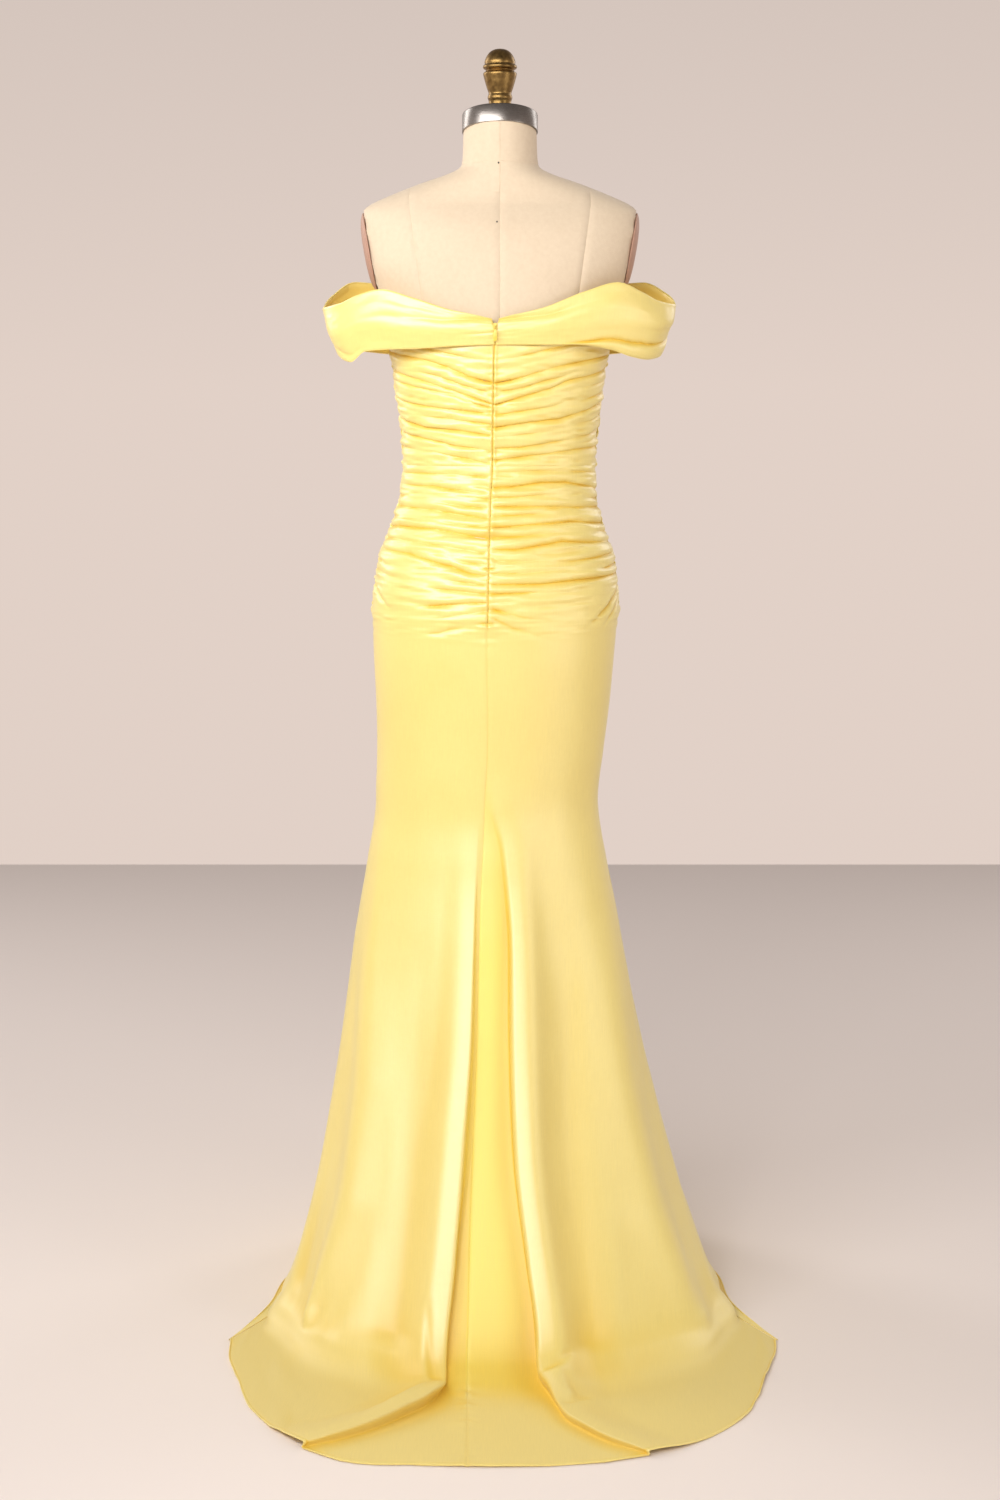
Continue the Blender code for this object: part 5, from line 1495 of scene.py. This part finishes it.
def make_materials():
    """Every finish: satin and linen with their weave, plain and brushed ones, and the floor."""
    weave, tone, brushed = weave_group(), tone_group(), brushed_group()

    tree, shader, vector = new_material("satin", uv="Cloth")
    threads = placed(
        tree, weave, vector,
        Warp_threads_per_metre=4200.0, Weft_threads_per_metre=3000.0, Float=0.22,
    )
    closed, valley, lying = (
        add_node(tree, "Attribute", {}, attribute_name=word)["Fac"]
        for word in ("Closed in", "Valley", "Lying")
    )
    colour = placed(
        tree, tone, vector,
        Light_colour=(0.93, 0.762, 0.236, 1), Deep_colour=(0.905, 0.727, 0.210, 1),
        Fine_share=0.35,
    )["Color"]
    # Painted bounce light in the valley between the deep folds, painted shade on the lying cloth,
    # and painted shade deep in creases, on the inner face and in the zip's gap
    colour = mix_colour(tree, valley, colour, VALLEY_PAINTED_BOUNCE_LIGHT)
    colour = mix_colour(tree, lying, colour, LYING_PAINTED_SHADE)
    colour = mix_colour(tree, closed, colour, CREASE_PAINTED_SHADE)
    shade = shift_range(tree, threads["Slubs"], 0.93, 1.05)
    tinted = add_node(tree, "VectorMath", {0: colour, "Scale": shade}, operation="SCALE")[0]
    dull = math_node(tree, "ADD", valley, closed, clamp=True)
    dull = math_node(tree, "ADD", dull, lying, clamp=True)
    dull = math_node(tree, "MULTIPLY", dull, 0.25)
    rough = shift_range(tree, threads["Slubs"], 0.32, 0.42)
    finish(
        tree, shader, (threads["Height"], 0.00006, 0.25),
        Base_Color=tinted, Roughness=math_node(tree, "ADD", rough, dull, clamp=True),
        IOR=1.6, Specular_IOR_Level=0.9,
        Coat_Weight=shift_range(tree, lying, 0.46, 0.04), Coat_Roughness=0.42,
        Sheen_Weight=0.12, Sheen_Roughness=0.40, Sheen_Tint=(1.0, 0.93, 0.62, 1),
    )

    tree, shader, vector = new_material("linen")
    threads = placed(
        tree, weave, vector,
        Warp_threads_per_metre=1300.0, Weft_threads_per_metre=1300.0, Float=1.0,
    )
    colour = placed(
        tree, tone, vector,
        Light_colour=(0.74, 0.610, 0.445, 1), Deep_colour=(0.69, 0.555, 0.395, 1),
        Fine_share=0.55,
    )
    finish(
        tree, shader, (threads["Slubs"], 0.00030, 0.5),
        Base_Color=colour["Color"], Roughness=shift_range(tree, threads["Slubs"], 0.82, 0.95),
        Sheen_Weight=0.15, Sheen_Roughness=0.5,
    )

    for name, light, deep, rough, metal in PLAIN_FINISHES:
        tree, shader, vector = new_material(name)
        colour = placed(tree, tone, vector, Light_colour=light, Deep_colour=deep, Fine_share=0.5)
        finish(
            tree, shader, (colour["Mask"], 0.0004, 0.25), Base_Color=colour["Color"],
            Roughness=shift_range(tree, colour["Mask"], *rough), Metallic=metal,
        )

    for name, light, deep in BRUSHED_FINISHES:
        tree, shader, vector = new_material(name)
        lines = placed(tree, brushed, vector, Lines=1.0)
        colour = placed(tree, tone, vector, Light_colour=light, Deep_colour=deep, Fine_share=0.3)
        finish(
            tree, shader, (lines["Height"], 0.00010, 0.35), Base_Color=colour["Color"],
            Roughness=shift_range(tree, lines["Mask"], 0.24, 0.40), Metallic=1.0,
            Anisotropic=0.4,
        )

    tree, shader, vector = new_material("pale floor")
    join(tree, shader.inputs["Base Color"], (0.88, 0.79, 0.74, 1))
    join(tree, shader.inputs["Roughness"], 0.75)


# Hard pieces, modelled by hand operations


def finish_piece(piece, name, material, nodes=(), body=DRESS, angle=35):
    """Puts a modelled piece's place in its mesh, and gives it its finish and its body."""
    piece.name = piece.data.name = name
    select_only(piece)
    bpy.ops.object.transform_apply(location=True, rotation=True, scale=True)
    piece.data.materials.clear()
    piece.data.materials.append(MATERIALS[material])
    bpy.ops.object.shade_smooth_by_angle(angle=math.radians(angle))
    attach(piece, body)
    if nodes:
        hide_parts(*nodes)
    return piece


def bevelled(piece, width, segments, angle=30):
    """Rounds a piece's edges."""
    edge = piece.modifiers.new("Edge", "BEVEL")
    edge.width = width
    edge.segments = segments
    edge.limit_method = "ANGLE"
    edge.angle_limit = math.radians(angle)
    apply_all(piece)


def face_outward(piece):
    """Turns every face of a closed piece outward."""
    select_only(piece)
    bpy.ops.object.mode_set(mode="EDIT")
    bpy.ops.mesh.select_all(action="SELECT")
    bpy.ops.mesh.normals_make_consistent(inside=False)
    bpy.ops.object.mode_set(mode="OBJECT")


def tube_faces(rings, around):
    """Faces between rings of points one after the other, and one that closes each end."""
    last = (rings - 1) * around
    faces = [
        (ring + i, ring + around + i, ring + around + (i + 1) % around, ring + (i + 1) % around)
        for ring in range(0, last, around)
        for i in range(around)
    ]
    return faces + [tuple(range(around)), tuple(reversed(range(last, last + around)))]


def turned_piece(profile, around, centre=(0.0, 0.0, 0.0)):
    """A turned piece: a circle extruded and resized ring by ring, closed at both ends.
    The profile gives radius and height, from the bottom up."""
    bpy.ops.object.select_all(action="DESELECT")
    radius, height = profile[0]
    x, y, z = centre
    bpy.ops.mesh.primitive_circle_add(
        vertices=around, radius=radius, fill_type="NGON", location=(x, y, z + height)
    )
    piece = bpy.context.object
    bpy.ops.object.mode_set(mode="EDIT")
    bpy.ops.mesh.select_all(action="SELECT")
    for next_radius, next_height in profile[1:]:
        bpy.ops.mesh.extrude_region_move(
            TRANSFORM_OT_translate={"value": (0, 0, next_height - height)}
        )
        share = next_radius / radius
        bpy.ops.transform.resize(value=(share, share, 1))
        radius, height = next_radius, next_height
    bpy.ops.object.mode_set(mode="OBJECT")
    face_outward(piece)
    return piece


def armhole(height):
    """Distance of the form's flat armhole side from the middle."""
    share = (height - ARMHOLE_LOW[0]) / (ARMHOLE_TOP[0] - ARMHOLE_LOW[0])
    return mix(ARMHOLE_LOW[1], ARMHOLE_TOP[1], share) if share >= 0 else 1.0


def neck_rise(y):
    """Rise of the slanted neck above its middle."""
    return NECK_SLANT * (NECK_AXIS - y)


# Seams of the form's cover, as turn at two heights: centre back, shoulder blade lines, side,
# front lines and centre front, for the right half
FORM_SEAMS = ((0.0, 0.0), (0.36, 0.40), (1.0, 1.0), (1.58, 1.50), (2.0, 2.0))
BLADE_LINE = ((1.30, 0.100), (1.36, 0.103), (1.49, 0.121), (1.60, 0.121))
NECK_SEAM = 1.546

# Depth of the cover's seams, half width of each in turns and of the neck's in height, and
# columns of the form between two seams
COVER_GROOVE = 0.0005
COVER_SEAM_TURN = 0.0032
NECK_SEAM_HALF = 0.0013
FORM_COLUMNS = 11


def blade_turn(section, height):
    """Turn of the shoulder blade seam, which runs up to the shoulder nearly straight."""
    want = float(np.interp(height, *zip(*BLADE_LINE)))
    low, high = 0.0, 0.96
    for _ in range(16):
        middle = (low + high) / 2
        if ring_point(section, middle, height, bridged=False)[0].x < want:
            low = middle
        else:
            high = middle
    return low


def form_turns(section, height):
    """Turns of the form's columns, with three close ones at each seam."""
    level = min(max((height - 1.10) / 0.40, 0.0), 1.0)
    right = [mix(low, high, level) for low, high in FORM_SEAMS]
    blade = mix(right[1], blade_turn(section, height), smoothstep((height - 1.22) / 0.08))
    right[1] = blade
    faded = 1 - smoothstep((blade - 0.85) / 0.08)
    seams = right + [4 - turn for turn in right[-2:0:-1]]
    turns, marks = [], []
    for number, (a, b) in enumerate(zip(seams, seams[1:] + [4.0])):
        turns += [a - COVER_SEAM_TURN, a, a + COVER_SEAM_TURN]
        marks += [0.0, faded if number in (1, 7) else 1.0, 0.0]
        inner = np.linspace(a, b, FORM_COLUMNS + 1)[1:-1]
        turns += list(inner)
        marks += [0.0] * len(inner)
    return [turn % 4 for turn in turns], marks


# Turned pieces of the form: radius and height from the foot up. The arm plate's radius is a
# share of its two halves
FINIAL = [
    (0.0150, 0.0), (0.0150, 0.0100), (0.0150, 0.0150), (0.0158, 0.0165), (0.0166, 0.0185),
    (0.0167, 0.0205), (0.0160, 0.0228), (0.0152, 0.0240), (0.0154, 0.0262), (0.0170, 0.0300),
    (0.0192, 0.0370), (0.0210, 0.0430), (0.0222, 0.0478), (0.0228, 0.0500), (0.0224, 0.0518),
    (0.0206, 0.0527), (0.0188, 0.0538), (0.0187, 0.0552), (0.0203, 0.0562), (0.0225, 0.0573),
    (0.0231, 0.0592), (0.0226, 0.0612), (0.0208, 0.0622), (0.0203, 0.0634), (0.0209, 0.0650),
    (0.0206, 0.0672), (0.0191, 0.0712), (0.0161, 0.0765),
    (0.0118, 0.0805), (0.0070, 0.0824), (0.0025, 0.0830),
]
NECK_CAP = [
    (0.0485, 0.0004), (0.0508, 0.0004), (0.0510, 0.0010), (0.0510, 0.0225), (0.0507, 0.0236),
    (0.0499, 0.0243), (0.0485, CAP_HEIGHT), (0.0300, CAP_HEIGHT + 0.0002), (0.0180, CAP_HEIGHT),
]
ARM_PLATE = [
    (0.97, 0.0), (1.0, 0.0005), (1.0, 0.0012), (0.95, 0.0030), (0.84, 0.0054),
    (0.66, 0.0074), (0.40, 0.0086), (0.15, 0.0090),
]
TACK = [(0.0011, 0.0), (0.0012, 0.0003), (0.0009, 0.0008), (0.0004, 0.0010)]
ARM_PLATE_HALVES = (0.053, 0.034)
ARM_PLATE_HEIGHT = 1.430
ARM_PLATE_GAP = 0.0004
TACK_HEIGHTS = (1.544, 1.4655)


def add_form():
    """Linen-covered torso with its sewn seams, arm plates, neck cap, finial and tacks."""
    heights = sorted(
        {round(h, 4) for h in np.arange(FORM_BOTTOM, 1.44, 0.012)}
        | {round(h, 4) for h in np.arange(1.44, FORM_TOP - 0.003, 0.0045)}
        | {NECK_SEAM - NECK_SEAM_HALF, NECK_SEAM, NECK_SEAM + NECK_SEAM_HALF, FORM_TOP},
        reverse=True,
    )
    rows = []
    for height in heights:
        section = figure_section(height, -EASE)
        lift = smoothstep((height - SLANT_START) / (FORM_TOP - SLANT_START))
        neck_groove = 1.0 if height == NECK_SEAM else 0.0
        row = []
        for turn, mark in zip(*form_turns(section, height)):
            point, outward = ring_point(section, turn, height, bridged=False)
            point -= outward * COVER_GROOVE * max(mark, neck_groove)
            reach = armhole(height)
            x = min(max(point.x, -reach), reach)
            row.append((x, point.y, height + neck_rise(point.y) * lift))
        rows.append(row)
    around = len(rows[0])
    points = [point for row in rows for point in row]
    torso = mesh_piece("form_torso_cover", points, tube_faces(len(rows), around))
    finish_piece(torso, "form_torso_cover", "linen", ("form_torso",), angle=40)

    lean = math.atan2(ARMHOLE_TOP[1] - ARMHOLE_LOW[1], ARMHOLE_TOP[0] - ARMHOLE_LOW[0])
    for side, word in ((1, "right"), (-1, "left")):
        plate = turned_piece(ARM_PLATE, 64)
        plate.scale = (*ARM_PLATE_HALVES, 1.0)
        plate.rotation_euler = (0, side * (math.pi / 2 + lean), 0)
        x = armhole(ARM_PLATE_HEIGHT) + ARM_PLATE_GAP * math.cos(lean)
        plate.location = (side * x, -0.010, ARM_PLATE_HEIGHT - ARM_PLATE_GAP * math.sin(lean))
        name = f"arm_plate_{word}"
        finish_piece(plate, name, "arm plate", (f"form_arm_plate_{word}",))

    cap = turned_piece(NECK_CAP, 96)
    cap.scale = (1.0, 0.95, 1.0)
    cap.rotation_euler.x = -math.atan(NECK_SLANT)
    cap.location = (0.0, NECK_AXIS, FORM_TOP)
    finish_piece(cap, "neck_cap", "brushed nickel", ("form_neck_band",))

    foot = FORM_TOP + (CAP_HEIGHT + 0.0004) * math.hypot(1.0, NECK_SLANT)
    finial = turned_piece(FINIAL, 64, (0.0, NECK_AXIS, foot))
    for vertex in finial.data.vertices:
        place = finial.matrix_world @ vertex.co
        near_foot = 1 - smoothstep((place.z - foot) / 0.010)
        vertex.co.z += neck_rise(place.y) * near_foot
    smooth = finial.modifiers.new("Smooth", "SUBSURF")
    smooth.levels = smooth.render_levels = 1
    apply_all(finial)
    finish_piece(finial, "brass_finial", "old brass", ("form_finial",))

    for number, height in enumerate(TACK_HEIGHTS, 1):
        section = figure_section(height, -EASE)
        point, outward = ring_point(section, 0.0, height, bridged=False)
        tack = turned_piece(TACK, 12)
        tack.rotation_euler = (math.pi / 2, 0, 0)
        tack.location = (point.x - 0.002 * number, point.y - 0.0001, height)
        finish_piece(tack, f"cover_tack_{number}", "tack")


def add_stand():
    """The stand's own nodes keep their shape and get their finishes."""
    for node, material in (("stand_pole", "steel tube"), ("stand_base", "cast iron")):
        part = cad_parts[node]
        part.data.materials.clear()
        part.data.materials.append(MATERIALS[material])


# Outline of the pull, as in the part's source: outer height and half width, eye height and
# half width, from the top down
PULL_OUTLINE = [
    (0.00045, 0.0, -0.00045, 0.0),
    (0.00045, 0.00120, -0.00045, 0.00070),
    (0.0, 0.00165, -0.00075, 0.00095),
    (-0.0018, 0.00180, -0.0014, 0.00095),
    (-0.0045, 0.00200, -0.0020, 0.00095),
    (-0.0090, 0.00240, -0.0026, 0.00095),
    (-0.0135, 0.00275, -0.0030, 0.00080),
    (-0.0170, 0.00235, -0.0032, 0.00045),
    (-0.0185, 0.00120, -0.0033, 0.00020),
    (-0.0189, 0.0, -0.0033, 0.0),
]
PULL_THICK = 0.0010

# The zip's coils: heights of the top and the bottom one, distance from one to the next, then
# half height, half width, front, back and depth of each. Its arch is given as shares of the
# half width and of the depth
COIL_TOP, COIL_END = 1.326, ZIP_END + 0.016
COIL_PITCH = 0.0016
COIL_HALF_TALL = 0.00042
COIL_HALF_WIDE = 0.0005
COIL_FRONT, COIL_BACK = 0.00045, 0.00075
COIL_DEEP = 0.0007
COIL_ARCH = ((-1, 0.9), (-0.55, 0.25), (0, 0.0), (0.55, 0.25), (1, 0.9))


def add_zip():
    """Coils behind the centre-back edges, and the slider with its hinged pull."""
    points, faces = [], []
    for number in range(int((COIL_TOP - COIL_END) / COIL_PITCH)):
        height = COIL_TOP - (number + 0.5) * COIL_PITCH
        x, y = seam_place(WAIST - height)
        start = len(points)
        for across, deep in COIL_ARCH:
            for up in (-COIL_HALF_TALL, COIL_HALF_TALL):
                for back in (COIL_FRONT, COIL_BACK):
                    place = (x + across * COIL_HALF_WIDE, y + back + deep * COIL_DEEP, height + up)
                    points.append(place)
        for i in range(4):
            a, b = start + 4 * i, start + 4 * i + 4
            for p, q in ((0, 2), (2, 3), (3, 1), (1, 0)):
                faces.append((a + p, b + p, b + q, a + q))
        faces.append((start, start + 2, start + 3, start + 1))
        faces.append((start + 16, start + 17, start + 19, start + 18))
    coils = mesh_piece("zip_coils", points, faces)
    face_outward(coils)
    # The coils' darker finish is painted shade in the zip's gap
    finish_piece(coils, "zip_coils", "zip coils in painted shade", ("zip_chain",), angle=50)

    low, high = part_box("zip_slider")
    middle, size = (low + high) / 2, high - low
    bpy.ops.object.select_all(action="DESELECT")
    bpy.ops.mesh.primitive_cube_add(size=1.0, location=middle)
    slider = bpy.context.object
    slider.scale = size
    bpy.ops.object.mode_set(mode="EDIT")
    bpy.ops.mesh.select_all(action="SELECT")
    bpy.ops.mesh.subdivide(number_cuts=3)
    bpy.ops.object.mode_set(mode="OBJECT")
    for vertex in slider.data.vertices:
        x, y, z = vertex.co
        vertex.co.x = x * (0.62 + 0.38 * smoothstep((z + 0.5) / 0.7))
        dome = 0.10 * (1 - (2 * x) ** 2) * (1 - abs(2 * z) ** 4) if y < 0 else 0.0
        vertex.co.y = max(y - dome, -0.5)
    bevelled(slider, 0.05, 2)
    finish_piece(slider, "zip_slider_body", "zip yellow", ("zip_slider",))

    add_bridge(*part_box("zip_bridge"))
    add_pull(*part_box("zip_pull"))


def add_bridge(low, high):
    """Small arch on the slider, a rounded bar bent around the pull's eye."""
    around, bend = 10, 16
    x, half = (low.x + high.x) / 2, (high.x - low.x) / 2
    z, outer = (low.z + high.z) / 2, (high.z - low.z) / 2
    inner, foot = outer - 0.0008, high.y
    axis = low.y + outer
    turns = [math.pi * i / bend for i in range(bend + 1)]
    path = [(axis, math.cos(turn), math.sin(turn)) for turn in turns]
    path = [(foot, 1.0, 0.0), *path, (foot, -1.0, 0.0)]
    middle, thick = (outer + inner) / 2, (outer - inner) / 2
    points = []
    for deep, up, out in path:
        for i in range(around):
            angle = 2 * math.pi * i / around
            radius = middle + thick * math.cos(angle)
            points.append((x + half * math.sin(angle), deep - out * radius, z + up * radius))
    bridge = mesh_piece("slider_bridge", points, tube_faces(len(path), around))
    face_outward(bridge)
    finish_piece(bridge, "slider_bridge", "zip yellow", ("zip_bridge",), angle=50)


def add_pull(low, high):
    """Teardrop pull with an eye and rounded edges, on its own body."""
    x, y, z = (low.x + high.x) / 2, (low.y + high.y) / 2, high.z - 0.00045
    left = [(oz, -oh, ez, -eh) for oz, oh, ez, eh in reversed(PULL_OUTLINE[1:-1])]
    rim = PULL_OUTLINE + left
    count = len(rim)
    points = []
    for deep in (-PULL_THICK / 2, PULL_THICK / 2):
        points += [(x + half, y + deep, z + up) for up, half, _, _ in rim]
        points += [(x + half, y + deep, z + up) for _, _, up, half in rim]
    near, near_eye, far, far_eye = (n * count for n in range(4))
    faces = []
    for i in range(count):
        j = (i + 1) % count
        faces.append((near + i, near_eye + i, near_eye + j, near + j))
        faces.append((far + j, far_eye + j, far_eye + i, far + i))
        faces.append((near + j, far + j, far + i, near + i))
        faces.append((near_eye + i, far_eye + i, far_eye + j, near_eye + j))
    pull = mesh_piece("zip_pull_tab", points, faces)
    face_outward(pull)
    bevelled(pull, 0.00018, 2, 40)
    finish_piece(pull, "zip_pull_tab", "zip yellow", ("zip_pull",), body=PULL)


def add_cloth():
    """Every panel of the dress."""
    gathers_right, gathers_left = BODICE_RIGHT + HIP_RIGHT, BODICE_LEFT + HIP_LEFT
    for right, word, lines, other, pleats, band_seed in (
        (True, "right", gathers_right, gathers_left, BAND_BACK_RIGHT_PLEATS, 140),
        (False, "left", gathers_left, gathers_right, BAND_BACK_LEFT_PLEATS, 240),
    ):
        name = f"bodice_back_{word}"
        add_back_bodice(right, name, lines, other, 100)
        name = f"skirt_back_{word}"
        add_back_skirt(right, name, lines, other, 100)
        name = f"band_back_{word}"
        add_back_band(right, name, pleats, band_seed)
    add_front_bodice()
    add_front_skirt()
    add_front_band()


# Lights: place, the place each aims at, width and height, and watts
SOFTBOXES = (
    ("front softbox", (-0.5, -2.75, 2.1), (0.0, 0.0, 1.25), (1.2, 1.2), 35.5),
    ("left softbox", (-1.15, -1.3, 1.95), (0.0, 0.0, 1.4), (1.4, 0.8), 23.0),
    ("right softbox", (2.6, -2.1, 1.1), (0.0, 0.0, 0.6), (0.9, 1.9), 16.5),
    ("far left softbox", (-2.5, 1.6, 2.3), (0.0, 0.0, 1.0), (1.0, 1.8), 26.0),
    ("far right softbox", (2.2, 2.0, 2.3), (0.0, 0.0, 1.0), (1.0, 1.8), 17.0),
)


def add_studio():
    """Camera at the photo's place, plain pale floor and soft lights."""
    scene = bpy.context.scene
    data = bpy.data.cameras.new("camera")
    data.sensor_width = 36.0
    data.lens = 55.44
    camera = bpy.data.objects.new("camera", data)
    camera.location = (0.0, -3.2, 1.25)
    camera.rotation_euler = (math.radians(81.07), 0.0, 0.0)
    scene.collection.objects.link(camera)
    scene.camera = camera

    bpy.ops.object.select_all(action="DESELECT")
    bpy.ops.mesh.primitive_plane_add(size=5.6, location=(0.0, 0.0, 0.0))
    floor = bpy.context.object
    floor.name = "floor"
    floor.data.materials.append(MATERIALS["pale floor"])

    for name, place, aim, size, power in SOFTBOXES:
        light = bpy.data.lights.new(name, "AREA")
        light.shape = "RECTANGLE"
        light.size, light.size_y = size
        light.energy = power
        lamp = bpy.data.objects.new(name, light)
        lamp.location = place
        lamp.rotation_euler = (Vector(aim) - Vector(place)).to_track_quat("-Z", "Y").to_euler()
        scene.collection.objects.link(lamp)

    world = bpy.data.worlds.new("studio")
    scene.world = world
    world.use_nodes = True
    tree = world.node_tree
    place = add_node(tree, "TexCoord", {})["Generated"]
    _, y, z = add_node(tree, "SeparateXYZ", {0: place})
    rise = shift_range(tree, z, 0.0, 1.0, 0.0, 0.8)
    colour = mix_colour(tree, rise, (1.0, 0.84, 0.755, 1), (0.38, 0.345, 0.33, 1))
    background = tree.nodes["Background"]
    join(tree, background.inputs["Color"], colour)
    join(tree, background.inputs["Strength"], shift_range(tree, y, 0.50, 0.76, -1.0))
    scene.view_settings.view_transform = "Standard"


make_materials()
add_studio()
add_form()
add_stand()
add_cloth()
add_zip()
